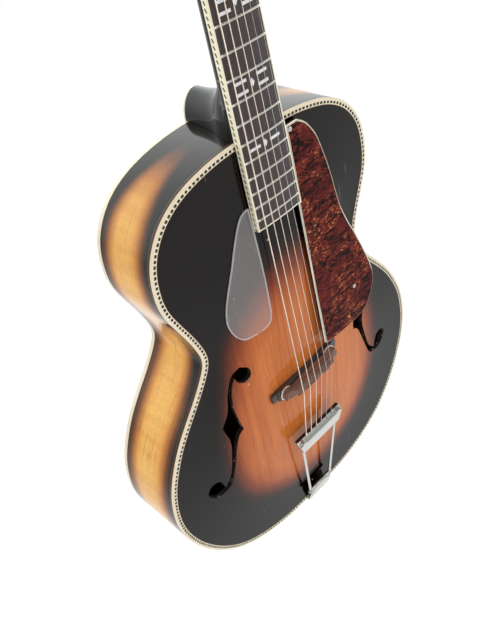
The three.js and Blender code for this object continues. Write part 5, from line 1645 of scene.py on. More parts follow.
satin_nickel = nickel("satin_nickel", (0.60, 0.60, 0.56), 0.26, 0.35)
bone = cream("bone", (0.83, 0.77, 0.62), (0.66, 0.56, 0.38))
bridge_wood = rosewood("bridge_rosewood", (0.34, 0.175, 0.12), (0.10, 0.045, 0.034), 0)
base_wood = rosewood("base_rosewood", (0.085, 0.056, 0.05), (0.04, 0.028, 0.026), 0)
cover_black = jet("black_plastic", (0.014, 0.014, 0.015))
SOFTENED = [
    ("bone_nut", "nut", "root", "bone", bone, 0.00035),
    ("bridge_foot", "bridge_base", "root", "rosewood", base_wood, 0.0006),
    ("bridge_top", "bridge_saddle", "saddle", "rosewood", bridge_wood, 0.0004),
    ("tail_strap", "tailpiece_bracket", "root", "nickel", satin_nickel, 0.0004),
    ("rod_cover", "truss_rod_cover", "root", "black_plastic", cover_black, 0.0003),
    ("geared_plate_bass", "tuner_plate_bass", "root", "nickel", satin_nickel, 0.0003),
    ("geared_plate_treble", "tuner_plate_treble", "root", "nickel", satin_nickel, 0.0003),
    ("guard_stay", "pickguard_bracket", "root", "nickel", satin_nickel, 0.0004),
]
for name, node, body, slot, finish, width in SOFTENED:
    hand_over(softened(name, node, finish, width), body, slot, node)

# %% [markdown]
# The bridge rides on two threaded studs, and a knurled wheel under each end of its top sets the height.

# %% Thumbwheels and studs
STUD_OFFSET = 0.035
STUD_RADIUS = 0.0019
WHEEL_RADIUS = 0.0085
WHEEL_BACK = -0.0149
WHEEL_THICKNESS = 0.0023
WHEEL_TEETH = 56
THREAD_PITCH = 0.0008
THREAD_DEPTH = 0.0002
KNURL_DEPTH = 0.00022


def wheel_shell():
    """A disc whose rim is knurled: the last number of each row is the share of the knurl cut there."""
    angles = np.linspace(0, 2 * math.pi, 4 * WHEEL_TEETH, endpoint=False)
    knurl = KNURL_DEPTH * (np.arange(len(angles)) % 4 >= 2)
    front = WHEEL_BACK - WHEEL_THICKNESS
    bore = STUD_RADIUS + FIT
    rim = [(0.0008, 0, 0), (0.0002, 0.0003, 0.4), (0, 0.0006, 1)]
    rows = [(bore, front, 0), *[(WHEEL_RADIUS - off, front + deep, share) for off, deep, share in rim],
            *[(WHEEL_RADIUS - off, WHEEL_BACK - deep, share) for off, deep, share in rim[::-1]],
            (bore, WHEEL_BACK, 0)]
    rings = []
    for radius, depth, share in rows:
        size = radius - knurl * share
        depths = np.full(len(angles), depth)
        rings.append(np.stack([size * np.sin(angles), depths, size * np.cos(angles)], -1))
    return lofted(rings, loop=True)


def stud_shell(low, high):
    turns = np.arange(low, high, THREAD_PITCH / 4)
    radius = STUD_RADIUS - THREAD_DEPTH * (0.5 + 0.5 * np.cos(turns / THREAD_PITCH * 2 * math.pi))
    return turned([(0.0001, low), *zip(radius, turns), (STUD_RADIUS - 0.0003, high), (0.0001, high)], 20)


wheel_metal = nickel("wheel_nickel", (0.86, 0.86, 0.81), 0.2, 0.15)


def make_wheels():
    low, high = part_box("bridge_stud_bass")
    for word, side in (("bass", -1), ("treble", 1)):
        place = BRIDGE @ Matrix.Translation((side * STUD_OFFSET, 0, 0))
        wheel = piece(f"knurled_wheel_{word}", moved(wheel_shell(), place), wheel_metal, 25)
        hand_over(wheel, f"wheel_{word}", "nickel", f"thumbwheel_{word}")
        shell = stud_shell(low.y - EDGE, high.y - EDGE)
        stud = piece(f"threaded_stud_{word}", moved(shell, place), satin_nickel, 60)
        hand_over(stud, "root", "nickel", f"bridge_stud_{word}")


make_wheels()

# %% [markdown]
# The tailpiece is a folded nickel bar on two legs that hinge at the tail. The bar is a hollow block with
# rounded edges, cut out behind, with a slot for each string and a round knob at each end.

# %% Tailpiece's places
HINGE_HEIGHT = 0.0235
HINGE_LIFT = 0.008
HINGE_RADIUS = 0.003
HINGE_HALF = 0.0208
HINGE_MIDDLE = 0.009
PIN_RADIUS = 0.0012
HINGE_BORE = 0.0015
SADDLE_ACTION = 0.00388
STRING_RISE = SCALE_LENGTH * math.sin(NECK_ANGLE) - NUT_PLACE[1] + SADDLE_ACTION
TAIL_ANGLE = math.atan((STRING_RISE - HINGE_LIFT) / (BRIDGE_HEIGHT - HINGE_HEIGHT))
TAILPIECE = PLATE @ Matrix.Translation((0, -HINGE_LIFT, HINGE_HEIGHT)) @ Matrix.Rotation(TAIL_ANGLE, 4, "X")
BAR_NECK_EDGE = BRIDGE_HEIGHT - HINGE_HEIGHT - 0.0822
BAR_TAIL_EDGE = BAR_NECK_EDGE - 0.0205
BAR_HALVES = (0.0315, 0.0375)
BAR_WALL = 0.0016
BAR_FRONT = -0.0048
BAR_SLANT = 0.0048
BAR_TURN = 0.0012
BAR_SKIRT = 0.0036
KNOB_OFFSET = 0.0305
LIP_DEPTH = 0.0014
LIP_INSET = 0.001
SLOT_ROOM = 0.00033
SLOT_FRONT = -0.0016
SLOT_REACH = 0.0034
KNOB_PROFILE = [(0.0001, -0.0056), (0.0020, -0.0056), (0.0026, -0.0053), (0.0028, -0.0048),
                (0.0028, BAR_TURN), (0.0001, BAR_TURN)]
KNOB_RADIUS = 0.0028
ROD_FLANGE = [(0.0012, 0.0001), (0.0012, 0.0017), (0.0007, 0.0022), (0, 0.0022), (0, PIN_RADIUS)]
LEG_OFFSETS = (0.0186, 0.0288)
DIAMETERS = (0.00135, 0.00107, 0.00081, 0.00062, 0.00044, 0.00036)
SPANS = {"nut": 0.035, "saddle": 0.0474, "tail": 0.0444}


def string_across(span, i):
    return SPANS[span] * (i / (len(DIAMETERS) - 1) - 0.5)


print("tailpiece's angle", round(math.degrees(TAIL_ANGLE), 2), "degrees")

# %% Tailpiece


def bar_block(margin, front, back):
    """A block whose neck side slants from the front face down to BAR_TURN."""
    rings = []
    for y, slant in ((front, BAR_SLANT), (BAR_TURN, 0), (back, 0)):
        tail, neck = BAR_TAIL_EDGE + margin, BAR_NECK_EDGE - margin - slant
        flat = [(-BAR_HALVES[0], tail), (BAR_HALVES[0], tail), (BAR_HALVES[1], neck), (-BAR_HALVES[1], neck)]
        rings.append([(x - math.copysign(margin, x), y, z) for x, z in flat])
    return lofted(rings)


def leg_shell(side):
    angles = np.linspace(0, 2 * math.pi, 20, endpoint=False)
    rings = []
    for share in np.linspace(0, 1, 9):
        x = side * (LEG_OFFSETS[0] + (LEG_OFFSETS[1] - LEG_OFFSETS[0]) * share)
        z = share * (BAR_TAIL_EDGE + BAR_WALL / 2)
        rings.append(np.stack([x + 0.002 * np.cos(angles), 0.0014 * np.sin(angles), np.full(20, z)], -1))
    return lofted(rings)


def shade_lip(made):
    """The bar's neck side and its hollow are dull and nearly black: mostly painted shade and a painted dark
    reflection, with some tarnish where no cloth reaches them.
    """
    dark = list(made.data.materials).index(painted_shade_nickel)
    for face in made.data.polygons:
        middle, way = face.center, face.normal
        at_lip = middle.z > BAR_NECK_EDGE - 0.0012 and way.z > 0.9 and middle.y > BAR_TURN - 0.0002
        inside = middle.y > BAR_FRONT + 0.001 and middle.z > BAR_TAIL_EDGE and way.y > 0.5
        if at_lip or inside:
            face.material_index = dark


# Nearly black nickel: painted shade for the bar's neck side, its hollow and its lip.
painted_shade_nickel = nickel("painted_shade_nickel", (0.045, 0.042, 0.04), 0.5, 0.4)


def slot_cutters():
    slots = []
    for i, diameter in enumerate(DIAMETERS):
        x, clear = string_across("tail", i), diameter / 2 + SLOT_ROOM
        slots.append(block((x - clear, SLOT_FRONT, BAR_NECK_EDGE - SLOT_REACH),
                           (x + clear, clear, BAR_NECK_EDGE + OVERRUN)))
    return joined(*slots)


def lip_shell():
    half, low, high = BAR_HALVES[1] - LIP_INSET, BAR_NECK_EDGE - BAR_WALL, BAR_NECK_EDGE - 0.0001
    flat = ((-half, low), (half, low), (half, high), (-half, high))
    return lofted([[(x, y, z) for x, z in flat] for y in (BAR_SKIRT - OVERRUN, BAR_SKIRT + LIP_DEPTH)])


def make_trapeze():
    made = piece("trapeze", bar_block(0, BAR_FRONT, BAR_SKIRT), satin_nickel)
    ease(made, 0.0011, 4)
    hollow = bar_block(BAR_WALL, BAR_FRONT + BAR_WALL, BAR_SKIRT + OVERRUN)
    carve(made, piece("hollow", hollow, satin_nickel))
    carve(made, piece("slots", slot_cutters(), satin_nickel))
    # The lip under the neck edge takes the nearly black nickel, painted shade.
    carve(made, piece("lip", lip_shell(), painted_shade_nickel), "UNION")
    for side in (-1, 1):
        place = Matrix.Translation((side * KNOB_OFFSET, 0, BAR_NECK_EDGE - KNOB_RADIUS))
        ends = sorted((side * (HINGE_MIDDLE + FIT), side * HINGE_HALF))
        for shell in (moved(turned(KNOB_PROFILE, 28), place), leg_shell(side),
                      drill(HINGE_RADIUS, *ends, 28, "x")):
            carve(made, piece("part", shell, satin_nickel), "UNION")
    bore = drill(HINGE_BORE, -HINGE_HALF - OVERRUN, HINGE_HALF + OVERRUN, 20, "x")
    carve(made, piece("bore", bore, satin_nickel), crease=32)
    shade_lip(made)
    hand_over(set_place(made, TAILPIECE), "trapeze", "nickel", "tailpiece_trapeze")


def make_hinge_rod():
    near = HINGE_HALF + FIT
    profile = [(radius, -near - out) for out, radius in ROD_FLANGE]
    profile += [(radius, -along) for radius, along in profile[::-1]]
    pin = piece("hinge_rod", moved(turned(profile, 24, "x"), TAILPIECE), satin_nickel)
    hand_over(pin, "root", "nickel", "tailpiece_hinge_pin")


make_trapeze()
make_hinge_rod()

# %% [markdown]
# The pin at the tail holds the strap. It is turned, with a flange, a waist and a rounded button.

# %% End pin
PIN_PROFILE = [(0.0001, -0.0119), (0.0030, -0.0119), (0.0048, -0.0116), (0.0057, -0.0110), (0.0060, -0.0102),
               (0.0058, -0.0092), (0.0050, -0.0085), (0.0041, -0.0075), (0.0038, -0.0060), (0.0038, -0.0048),
               (0.0042, -0.0041), (0.0058, -0.0038), (0.0065, -0.0034), (0.0065, -0.0026), (0.0062, -0.0022),
               (0.0032, -0.0022), (0.0032, 0.0142), (0.0026, 0.0150), (0.0001, 0.0150)]
pin_place = PLATE @ Matrix.Translation((0, RIB_TAIL_DEPTH / 2, 0))
strap_pin = piece("strap_pin", moved(turned(PIN_PROFILE, 40, "z"), pin_place), satin_nickel, 50)
hand_over(strap_pin, "root", "nickel", "end_pin")

# %% [markdown]
# A guard keeps picks and hands off the lacquer. The dark one is mottled celluloid with pale and black
# layers that show along its bevelled edge, so it is built as a stack whose layers shrink towards the front.
# The mottle is dark red with clusters of bright sparks: one noise makes the flecks, and a slower one says
# where they are lively.

# %% Pickguard
GUARD_INNER = 0.027
GUARD_WIDTH = 0.0925
GUARD_TOP = BODY_LENGTH - 0.0085
GUARD_LOW = BRIDGE_HEIGHT + 0.0168
GUARD_THICKNESS = 0.0024
GUARD_LIFT = 0.006
GUARD_SLOPE = 0.0555
GUARD_SHARES = [
    [0.02, 0.02], [0.135, 0.004], [0.39, 0], [0.6, 0.002], [0.81, 0.023], [0.96, 0.095], [1, 0.15],
    [0.985, 0.2], [0.9, 0.297], [0.77, 0.42], [0.69, 0.485], [0.6, 0.583], [0.52, 0.75], [0.43, 0.879],
    [0.366, 0.93], [0.28, 0.972], [0.17, 1],
]
GUARD_LAYERS = [("guard_black", 0.0, 0.0005, check_black), ("guard_cream", 0.0005, 0.0014, board_ivory),
                ("guard_line", 0.0014, 0.00165, check_black),
                ("guard_cream_line", 0.00165, 0.0020, board_ivory)]
GUARD_BEVEL = 0.62
GUARD_GAP = 0.0005


def guard_front(z):
    return -GUARD_LIFT - (GUARD_TOP - z) * GUARD_SLOPE


def board_side(z):
    """How far from the middle the guard has to stop, beside the board at this height."""
    return board_half((NUT_PLACE[2] - z) / math.cos(NECK_ANGLE)) + BINDING_WIDTH + GUARD_GAP


def guard_outline():
    step = NUT_PLACE[2] - (BOARD_END + BINDING_WIDTH + GUARD_GAP) * math.cos(NECK_ANGLE)
    points = [(GUARD_INNER + across * GUARD_WIDTH, GUARD_LOW + along * (GUARD_TOP - GUARD_LOW))
              for across, along in GUARD_SHARES]
    corners = [(board_side(GUARD_TOP), GUARD_TOP), (board_side(step), step), (GUARD_INNER, step)]
    return np.concatenate([smooth_line(points, 6), corners])


def shrunk(outline, distance):
    before, after = outline - np.roll(outline, 1, 0), np.roll(outline, -1, 0) - outline
    sides = [np.stack([-v[:, 1], v[:, 0]], -1) / np.linalg.norm(v, axis=1)[:, None] for v in (before, after)]
    middle = sides[0] + sides[1]
    middle /= np.maximum((middle * sides[0]).sum(1), 0.2)[:, None]
    return outline + distance * middle


def tortoise():
    paint = Paint("tortoise")
    spot = paint.place(turn=(0, math.radians(-28), 0), scale=(1, 1, 2.6))
    broad = paint.noise(spot, 34, 4, 0.65, 0.8)
    flecks = paint.noise(spot, 120, 3, 0.7, 1.2)
    clouds = paint.noise(paint.place(), 19, 2, 0.5, 0.6)
    lively = paint.band(clouds, 0.42, 0.58)
    sparks = paint.band(paint.noise(spot, 200, 3, 0.75, 0.6), 0.55, 0.66)
    base = paint.mix(paint.band(broad, 0.42, 0.6), (0.008, 0.003, 0.004), (0.09, 0.011, 0.011))
    color = paint.mix(paint.band(flecks, 0.48, 0.64) * (lively * 0.5 + 0.5), base, (0.26, 0.036, 0.022))
    color = paint.mix(sparks * lively * paint.band(broad, 0.44, 0.56), color, (0.86, 0.32, 0.11))
    return paint.surface(Base_Color=color, Roughness=0.35 + broad * 0.1, Coat_Weight=0.3, Coat_Roughness=0.05,
                         Coat_IOR=LACQUER_IOR, Specular_IOR_Level=0.0,
                         Normal=paint.bump(broad, 0.1, 0.0005))


def guard_shell(outline, depths, margins):
    rings = []
    for depth, margin in zip(depths, margins):
        line = shrunk(outline, margin)
        rings.append(on_body(line[:, 0], guard_front(line[:, 1]) + depth, line[:, 1]))
    return lofted(rings)


def bevel_depth(margin):
    """How far behind the guard's face its bevel lies, at a margin from the outline."""
    return GUARD_THICKNESS * (1 - margin / GUARD_LAYERS[-1][2]) * GUARD_BEVEL


def make_guard():
    outline = guard_outline()
    inward = 1 if abs(shrunk(outline, 0.001)[:, 0]).max() < abs(outline[:, 0]).max() else -1
    top = GUARD_LAYERS[-1][2]
    shell = guard_shell(outline, (bevel_depth(top - 0.0001) + 0.0003, 0.00025, 0),
                        [inward * m for m in (top - 0.0001, top, top + 0.0003)])
    hand_over(piece("tortoise_guard", shell, tortoise(), 25), "root", "tortoise", "pickguard")
    for name, outer, inner, finish in GUARD_LAYERS:
        front, back = bevel_depth(outer), bevel_depth(inner)
        under = GUARD_THICKNESS if outer == 0 else front + 0.0002
        shell = guard_shell(outline, (under, front, back, back + 0.0004),
                            [inward * m for m in (outer, outer, inner, inner + 0.0001)])
        hand_over(piece(name, shell, finish, 25), "root", "tortoise")


make_guard()

# %% [markdown]
# The clear guard is a thin film that lies on the arch, so its points take their depth from the top's own
# formula. Its edge is painted lighter and more opaque: a painted highlight where the edge catches the light.
# Each point therefore stores how far the edge is.

# %% Clear guard
CLEAR_LENGTH = 0.131
CLEAR_LOW = BODY_LENGTH - 0.0598 - CLEAR_LENGTH
CLEAR_STRIPS = 17
CLEAR_INNER = 0.029
CLEAR_WIDTH = 0.0505
CLEAR_THICKNESS = 0.0013
CLEAR_SEAT = 0.00055
CLEAR_SHARES = [
    [0, 0.28, 0.42], [0.012, 0.14, 0.65], [0.04, 0.05, 0.77], [0.115, 0, 0.907], [0.2, 0, 0.98],
    [0.276, 0, 1], [0.375, 0, 0.96], [0.464, 0, 0.883], [0.573, 0, 0.765], [0.684, 0, 0.63],
    [0.78, 0, 0.52], [0.909, 0, 0.34], [0.977, 0, 0.2], [1, 0, 0.05],
]


def clear_film():
    paint = Paint("clear_film")
    edge = paint.attribute("edge")
    spot = paint.place(turn=(0, 0.5, 0), scale=(1, 1, 0.12))
    scratches = paint.band(paint.noise(spot, 420, 2, 0.7), 0.66, 0.72)
    cloud = paint.noise(paint.place(), 30, 3, 0.6)
    # Painted highlight: lighter and more opaque within about a millimetre of the edge.
    rim = 1 - paint.band(edge, 0.0004, 0.0015)
    color = paint.mix(rim, (0.70, 0.66, 0.65), (0.85, 0.83, 0.83))
    return paint.surface(Base_Color=color, Roughness=0.2 + cloud * 0.15,
                         Alpha=0.13 + rim * 0.3 + scratches * 0.1, Coat_Weight=1.0, Coat_Roughness=0.08,
                         Coat_IOR=LACQUER_IOR, Specular_IOR_Level=0.2,
                         Normal=paint.bump(cloud, 0.01, 0.0002))


def make_clear_guard():
    rows = smooth_line(CLEAR_SHARES, 4)
    rings = []
    for height, inner, outer in rows:
        z = CLEAR_LOW + height * CLEAR_LENGTH
        x = -CLEAR_INNER - CLEAR_WIDTH * np.linspace(max(inner, 0), max(outer, inner + 0.02), CLEAR_STRIPS)
        zs = np.full(CLEAR_STRIPS, z)
        seat = top_depth(x, zs) - CLEAR_SEAT
        under, over = on_body(x, seat, zs), on_body(x, seat - CLEAR_THICKNESS, zs)
        rings.append(np.concatenate([under, over[::-1]]))
    guard = piece("clear_film_guard", lofted(rings), clear_film(), 50)
    ease(guard, 0.0004, 2, 50)
    flat = coordinates(guard)[:, [0, 2]]
    heights = CLEAR_LOW + TAIL + rows[:, 0] * CLEAR_LENGTH
    inner, outer = (np.stack([-CLEAR_INNER - CLEAR_WIDTH * shares, heights], -1)
                    for shares in (np.maximum(rows[:, 1], 0), rows[:, 2]))
    border = smooth_line(np.concatenate([inner, outer[::-1]]), 4)
    set_numbers(guard, "edge", np.linalg.norm(flat[:, None] - border[None], axis=2).min(1))
    hand_over(guard, "root", "clear_plastic", "clear_guard")


make_clear_guard()

# %% [markdown]
# Six strings run from balls in the tailpiece over the bridge and the nut to three turns round their posts.
# The four low ones are wrapped in bronze, which the finish shows as fine ridges across the string. A string
# has to rise with the saddle while its ends stay. Each string is made in two pieces that meet on the saddle's
# crest: a long one from the crest to its post, and one from the crest back to its ball, with the ball and a
# sleeve.

# %% Strings
SADDLE_CROWN = 0.0013
SADDLE_CRESTS = (-0.0019, -0.001, -0.0002, 0.0006, -0.0014, -0.0005)
POST_WAIST = 0.0026
COLLAR_HEIGHT = 0.004
TURNS = 3
TURN_STEPS = 30
CREST_RING = 2
NUT_RING = 5
STRING_SIDES = 14
CREST_REACH = 0.0009
LOCK_SPAN = (0.0042, 0.0105)
LOCK_SHARES = (0.55, 0.8, 0.95, 0.8, 0.95, 0.8, 0.95, 0.8, 0.95, 0.8, 0.8, 0.55)
BALL_RADIUS = 0.0019
BALL_PROFILE = [(0.0002, -0.0015), (0.0016, -0.0015), (BALL_RADIUS, -0.0011), (0.0014, -0.0004),
                (0.0014, 0.0004), (BALL_RADIUS, 0.0011), (0.0016, 0.0015), (0.0002, 0.0015)]


def wound_metal(name, tint, ridge):
    paint = Paint(name)
    z = paint.part(paint.place(), 2)
    wrap = paint.sine(z * (2 * math.pi / ridge))
    grime = paint.noise(paint.place(), 60, 3, 0.6)
    color = paint.mix(paint.band(grime, 0.4, 0.8) * 0.5, tint, tuple(0.6 * v for v in tint))
    return paint.surface(Base_Color=color, Metallic=1.0, Roughness=0.28 + grime * 0.15,
                         Normal=paint.bump(wrap, 0.5, 0.0001))


def winding(i, start):
    """A string's turns on its post, in the headstock's place."""
    side = -1 if i < 3 else 1
    row = i if side < 0 else 5 - i
    diameter = DIAMETERS[i]
    centre = np.array([side * POST_OFFSET, POST_PLACES[row]])
    radius = POST_WAIST + 0.0006 + diameter / 2
    pitch = diameter + 0.0007
    reach = centre - [start.x, start.z]
    heading = math.atan2(reach[1], reach[0]) + side * math.asin(radius / np.linalg.norm(reach))
    top = -COLLAR_HEIGHT - 0.0005 - diameter / 2 - TURNS * pitch
    turn = np.linspace(0, TURNS, TURNS * TURN_STEPS + 1)
    angle = heading + side * math.pi / 2 - side * turn * 2 * math.pi
    x, z = centre[0] + radius * np.cos(angle), centre[1] + radius * np.sin(angle)
    return np.stack([x, top + turn * pitch, z], -1)


def string_line(i):
    """A string's points from its ball to its last turn."""
    ball = (string_across("tail", i), 0, BAR_NECK_EDGE - BAR_WALL - FIT - BALL_RADIUS)
    share = 2 * string_across("saddle", i) / SPANS["saddle"]
    saddle = (string_across("saddle", i), -STRING_RISE - SADDLE_CROWN * (1 - share ** 2), SADDLE_CRESTS[i])
    x = string_across("nut", i)
    half = board_half(0)
    nut = (x, float(camber(x, half)) - FRET_HEIGHT - 0.00035 - DIAMETERS[i] / 2, NUT_LENGTH)
    tail, over = TAILPIECE @ Vector(ball), BRIDGE @ Vector(saddle)
    nut_place = NECK @ Vector(nut)
    turns = placed(winding(i, HEAD.inverted() @ nut_place), HEAD)
    line = [np.array(tail)]
    for before, here, after in ((tail, over, nut_place), (over, nut_place, Vector(turns[0]))):
        near = here + (before - here).normalized() * CREST_REACH
        far = here + (after - here).normalized() * CREST_REACH
        line += [np.array(near), np.array(near * 0.25 + here * 0.5 + far * 0.25), np.array(far)]
    return np.concatenate([line, turns]), tail, over


string_finishes = [wound_metal("wound_bronze", (0.97, 0.84, 0.72), 0.0004)] * 4
string_finishes += [nickel("plain_steel", (0.62, 0.62, 0.63), 0.2, 0.3)] * 2


def make_strings():
    for i, diameter in enumerate(DIAMETERS):
        line, tail, over = string_line(i)
        way = np.array((over - tail).normalized())
        rings = tube_rings(line, diameter / 2, STRING_SIDES)
        lock = np.array(tail) + way * np.linspace(*LOCK_SPAN, len(LOCK_SHARES))[:, None]
        sleeve = tube_rings(lock, diameter * np.array(LOCK_SHARES), STRING_SIDES)
        ball = moved(turned(BALL_PROFILE, 20, "x"), Matrix.Translation(tail))
        anchored = joined(lofted(rings[:CREST_RING + 1]), lofted(sleeve), ball)
        parts = {f"wire_{i + 1}": (lofted(rings[CREST_RING:]), line[NUT_RING]),
                 f"wire_end_{i + 1}": (anchored, tail)}
        for name, (shell, held) in parts.items():
            made = piece(name, shell, string_finishes[i], 50)
            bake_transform(made)
            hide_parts(f"string_{i + 1}")
        print("string", i + 1, len(line), "points,", round((over - tail).length, 4), "m behind the bridge")


make_strings()

# %% [markdown]
# Each tuner is a post that winds the string, a small gear behind the plate and a worm on the key's shaft.
# The gear's twelve teeth slant by the worm's lead, so the two mesh as they turn.

# %% Tuners
GEAR_TEETH = 12
GEAR_PITCH_RADIUS = 0.0044
GEAR_TIP = 0.005
GEAR_ROOT = 0.00355
GEAR_WIDTH = 0.003
GEAR_SHARES = (0.2, 0.34)
PLATE_METAL = 0.0012
PLATE_BACK = HEAD_THICKNESS + FIT + PLATE_METAL
GEAR_FRONT = PLATE_BACK + 0.0021
GEAR_MIDDLE = GEAR_FRONT + GEAR_WIDTH / 2
WORM_DROP = 0.0069
WORM_PITCH = 2 * math.pi * GEAR_PITCH_RADIUS / GEAR_TEETH
WORM_RADIUS = 0.0025
WORM_LEAD = math.atan(WORM_PITCH / (2 * math.pi * WORM_RADIUS))
WORM_THREAD = ((0.000875, -0.29), (0.00305, -0.13), (0.00305, 0.13), (0.000875, 0.29))
BEARING_PLACE = 0.0054
WORM_HALF = BEARING_PLACE - 0.0008 - FIT
KEY_RADIUS = 0.0016
KEY_END = BEARING_PLACE + 0.0016
KEY_COLLAR = 0.0024
SOCKET_DEPTH = 0.006
SOCKET_RADIUS = 0.0019
BUTTON_START = 0.0445 - POST_OFFSET
BUTTON_LENGTH = 0.012
BUTTON_HALVES = (0.0031, 0.0085)
BUTTON_SHARES = [(0, 0.5), (0.3, 0.9), (0.6, 1), (0.88, 0.86), (1, 0.55)]
POST_PROFILE = [(0.0001, -0.0155), (0.0022, -0.0155), (0.0031, -0.0151), (0.0033, -0.0144), (0.0033, -0.0136),
                (0.0031, -0.0133), (POST_WAIST, -0.0124), (POST_WAIST, -0.0044), (0.0030, -0.0040),
                (0.0040, -0.0040), (0.0042, -0.0037)]


def gear_shell():
    """Twelve teeth whose section turns a little from front to back, by the worm's lead."""
    rings = []
    for y in np.linspace(GEAR_FRONT, GEAR_FRONT + GEAR_WIDTH, 4):
        twist = (y - GEAR_MIDDLE) * math.tan(WORM_LEAD) / GEAR_PITCH_RADIUS
        ring = []
        for tooth in range(GEAR_TEETH):
            for radius, share in ((GEAR_ROOT, -GEAR_SHARES[1]), (GEAR_TIP, -GEAR_SHARES[0]),
                                  (GEAR_TIP, GEAR_SHARES[0]), (GEAR_ROOT, GEAR_SHARES[1])):
                angle = (tooth + share) * 2 * math.pi / GEAR_TEETH + twist
                ring.append((radius * math.sin(angle), y, radius * math.cos(angle)))
        rings.append(ring)
    return lofted(rings)


def post_shell():
    tail = GEAR_FRONT + GEAR_WIDTH + 0.0012
    return turned([*POST_PROFILE, (0.0042, -FIT), (0.0030, -FIT), (0.0030, tail - 0.0003), (0.0027, tail),
                   (0.0001, tail)], 32)


def key_shell(side):
    """A shaft with a collar on each side of the worm and a long end in the button."""
    outer, collar = BUTTON_START + SOCKET_DEPTH - FIT, WORM_HALF - 0.0007
    profile = [(0.0001, -KEY_END), (0.0013, -KEY_END), (KEY_RADIUS, 0.0003 - KEY_END),
               (KEY_RADIUS, -WORM_HALF), (KEY_COLLAR, -WORM_HALF), (KEY_COLLAR, -collar), (0.00175, -collar),
               (0.00175, collar),
               (KEY_COLLAR, collar), (KEY_COLLAR, WORM_HALF), (KEY_RADIUS, WORM_HALF), (KEY_RADIUS, outer),
               (0.0001, outer)]
    return turned(profile if side > 0 else [(radius, -along) for radius, along in profile[::-1]], 24, "x")


def worm_shell():
    rings = []
    for turn in np.linspace(-1, 1, 49):
        angle = (turn - 0.25) * 2 * math.pi
        rings.append([((turn + offset) * WORM_PITCH, radius * math.cos(angle), radius * math.sin(angle))
                      for radius, offset in WORM_THREAD])
    return lofted(rings)


def button_shell(side):
    angles = np.linspace(0, 2 * math.pi, 36, endpoint=False)
    rings = []
    for along, size in smooth_line(BUTTON_SHARES, 4):
        x = np.full(36, side * (BUTTON_START + along * BUTTON_LENGTH))
        rings.append(np.stack([x, BUTTON_HALVES[0] * size * np.cos(angles),
                               BUTTON_HALVES[1] * size * np.sin(angles)], -1))
    return lofted(rings)


pearl_plastic = cream("pearl_plastic", (0.86, 0.80, 0.66), (0.66, 0.58, 0.44))


def make_tuners():
    for word, side in (("bass", -1), ("treble", 1)):
        for i, z in enumerate(POST_PLACES, 1):
            post = piece(f"post_{word}_{i}", post_shell(), satin_nickel)
            carve(post, piece("gear", gear_shell(), satin_nickel), "UNION", 32)
            set_place(post, HEAD @ Matrix.Translation((side * POST_OFFSET, 0, z)))
            hand_over(post, f"post_{word}_{i}", "nickel", f"tuner_post_{word}_{i}")
            place = HEAD @ Matrix.Translation((side * POST_OFFSET, GEAR_MIDDLE, z - WORM_DROP))
            key = piece(f"worm_key_{word}_{i}", key_shell(side), satin_nickel)
            carve(key, piece("worm", worm_shell(), satin_nickel), "UNION", 32)
            hand_over(set_place(key, place), f"key_{word}_{i}", "nickel", f"tuner_key_{word}_{i}")
            knob = piece(f"oval_button_{word}_{i}", button_shell(side), pearl_plastic)
            ends = sorted((side * (BUTTON_START - OVERRUN), side * (BUTTON_START + SOCKET_DEPTH)))
            socket = drill(SOCKET_RADIUS, *ends, 20, "x")
            carve(knob, piece("socket", socket, pearl_plastic), crease=40)
            hand_over(set_place(knob, place), f"key_{word}_{i}", "pearl_button", f"tuner_button_{word}_{i}")


make_tuners()

# %% [markdown]
# Small slotted screws hold the guards, the rod's cover, the tuners' plates and the tail bracket. One screw
# is turned and slotted, and a rule sets a copy on each place, with its slot at random.

# %% Screws
SCREW_PROFILE = [(0.001, 0.35), (0.5, 0.33), (0.85, 0.2), (1.0, 0.02), (0.96, -0.25), (0.001, -0.25)]
SLOT_WIDTH = 0.22
SLOT_BOTTOM = 0.12
GUARD_SCREWS = ((0.0325, 0.4980), (0.0859, 0.2915))
COVER_SCREWS = ((-0.0095, 0.0065), (0.0095, 0.0065), (0, 0.0395))
COVER_FRONT = -FIT - 0.0018
PLATE_SCREWS = (POST_PLACES[0] - 0.0142, 0.0590, 0.0948, POST_PLACES[2] + 0.0142)
STRAP_SCREWS = ((-0.009, 0.022), (0.009, 0.022), (0, 0.0515))
STRAP_BACK = -FIT - 0.0016


def screw_rule():
    """A copy of the screw on each point, facing as the point says and spun by chance."""
    rule = Rule("screw_set", screw=None, size=0.002, seed=4)
    sockets = {"Object": rule.given("screw")}
    head = rule.node("GeometryNodeObjectInfo", None, sockets, 4)
    facing = rule.node("GeometryNodeInputNamedAttribute", {"data_type": "FLOAT_VECTOR"}, {"Name": "facing"})
    sockets = {"Vector": facing}
    aim = rule.node("FunctionNodeAlignRotationToVector", {"axis": "Z"}, sockets)
    sockets = {2: 0.0, 3: math.pi, "Seed": rule.given("seed")}
    chance = rule.node("FunctionNodeRandomValue", {"data_type": "FLOAT"}, sockets, 1)
    spin = rule.node("FunctionNodeEulerToRotation", None, {"Euler": rule.vector(z=chance)})
    sockets = {"Rotation": aim, "Rotate By": spin}
    turned_by = rule.node("FunctionNodeRotateRotation", {"rotation_space": "LOCAL"}, sockets)
    size = rule.given("size")
    sockets = {"Points": rule.given("Geometry"), "Instance": head, "Rotation": turned_by,
               "Scale": rule.vector(x=size, y=size, z=size)}
    rule.end(rule.node("GeometryNodeInstanceOnPoints", None, sockets))
    return rule


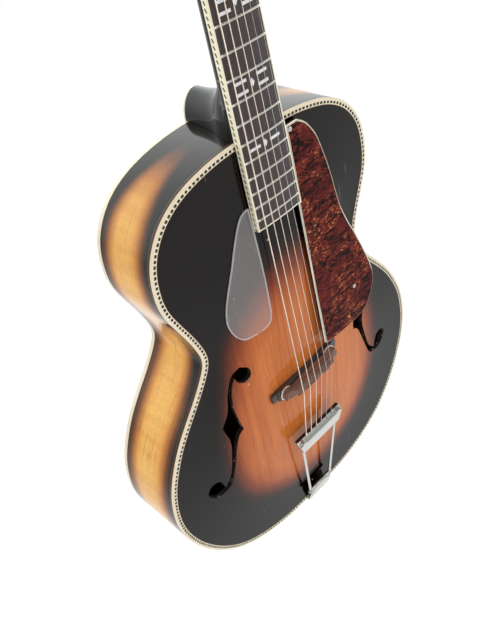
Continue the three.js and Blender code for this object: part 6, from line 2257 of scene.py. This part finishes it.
def screw_head():
    head = piece("screw", turned(SCREW_PROFILE, 20, "z"), satin_nickel)
    slot = block((-1.2, -SLOT_WIDTH / 2, SLOT_BOTTOM), (1.2, SLOT_WIDTH / 2, 1))
    return carve(head, piece("slot", slot, satin_nickel))


def screw_sets():
    turn = HEAD.to_3x3()
    yield ("guard_screws", 0.0023, [Vector(on_body(x, guard_front(z), z)) for x, z in GUARD_SCREWS],
           Vector((0, -1, GUARD_SLOPE)).normalized())
    yield ("cover_screws", 0.0016, [HEAD @ Vector((x, COVER_FRONT, z)) for x, z in COVER_SCREWS],
           turn @ Vector((0, -1, 0)))
    yield ("plate_screws", 0.0019, [HEAD @ Vector((side * POST_OFFSET, PLATE_BACK, z))
                                    for side in (-1, 1) for z in PLATE_SCREWS], turn @ Vector((0, 1, 0)))
    yield ("strap_screws", 0.0022, [PLATE @ Vector((x, y, STRAP_BACK)) for x, y in STRAP_SCREWS],
           Vector((0, 0, -1)))


def make_screws():
    rule, head = screw_rule(), screw_head()
    for name, size, spots, way in screw_sets():
        base = bpy.data.meshes.new(name)
        base.from_pydata([spot[:] for spot in spots], [], [])
        layer = base.attributes.new("facing", "FLOAT_VECTOR", "POINT")
        layer.data.foreach_set("vector", [*way] * len(spots))
        hand_over(rule.run(name, base, satin_nickel, 35, screw=head, size=size), "root", "nickel")
    bpy.data.objects.remove(head)


make_screws()

# %% [markdown]
# The picture does not show the headstock, so it carries a plain ornament of the old kind: a long pearl
# diamond between two bars, with no name or mark.

# %% Headstock ornament
CREST_DIAMOND = [(-0.0065, 0.094), (0, 0.073), (0.0065, 0.094), (0, 0.115)]
CREST_BARS = (0.0655, 0.1205)
CREST_BAR = (0.009, 0.0024)


def make_crest():
    half, tall = CREST_BAR
    bars = [[(-half, z), (half, z), (half, z + tall), (-half, z + tall)] for z in CREST_BARS]
    shells = [lofted([[(x, y, z) for x, z in corners] for y in (-INLAY_PROUD, INLAY_SUNK)])
              for corners in (CREST_DIAMOND, *bars)]
    crest = piece("head_ornament", moved(joined(*shells), HEAD), shell_pearl, 30)
    hand_over(crest, "root", "pearl_button")


make_crest()
refinish("truss_rod", nickel("rod_steel", (0.5, 0.5, 0.5), 0.35, 0.4))
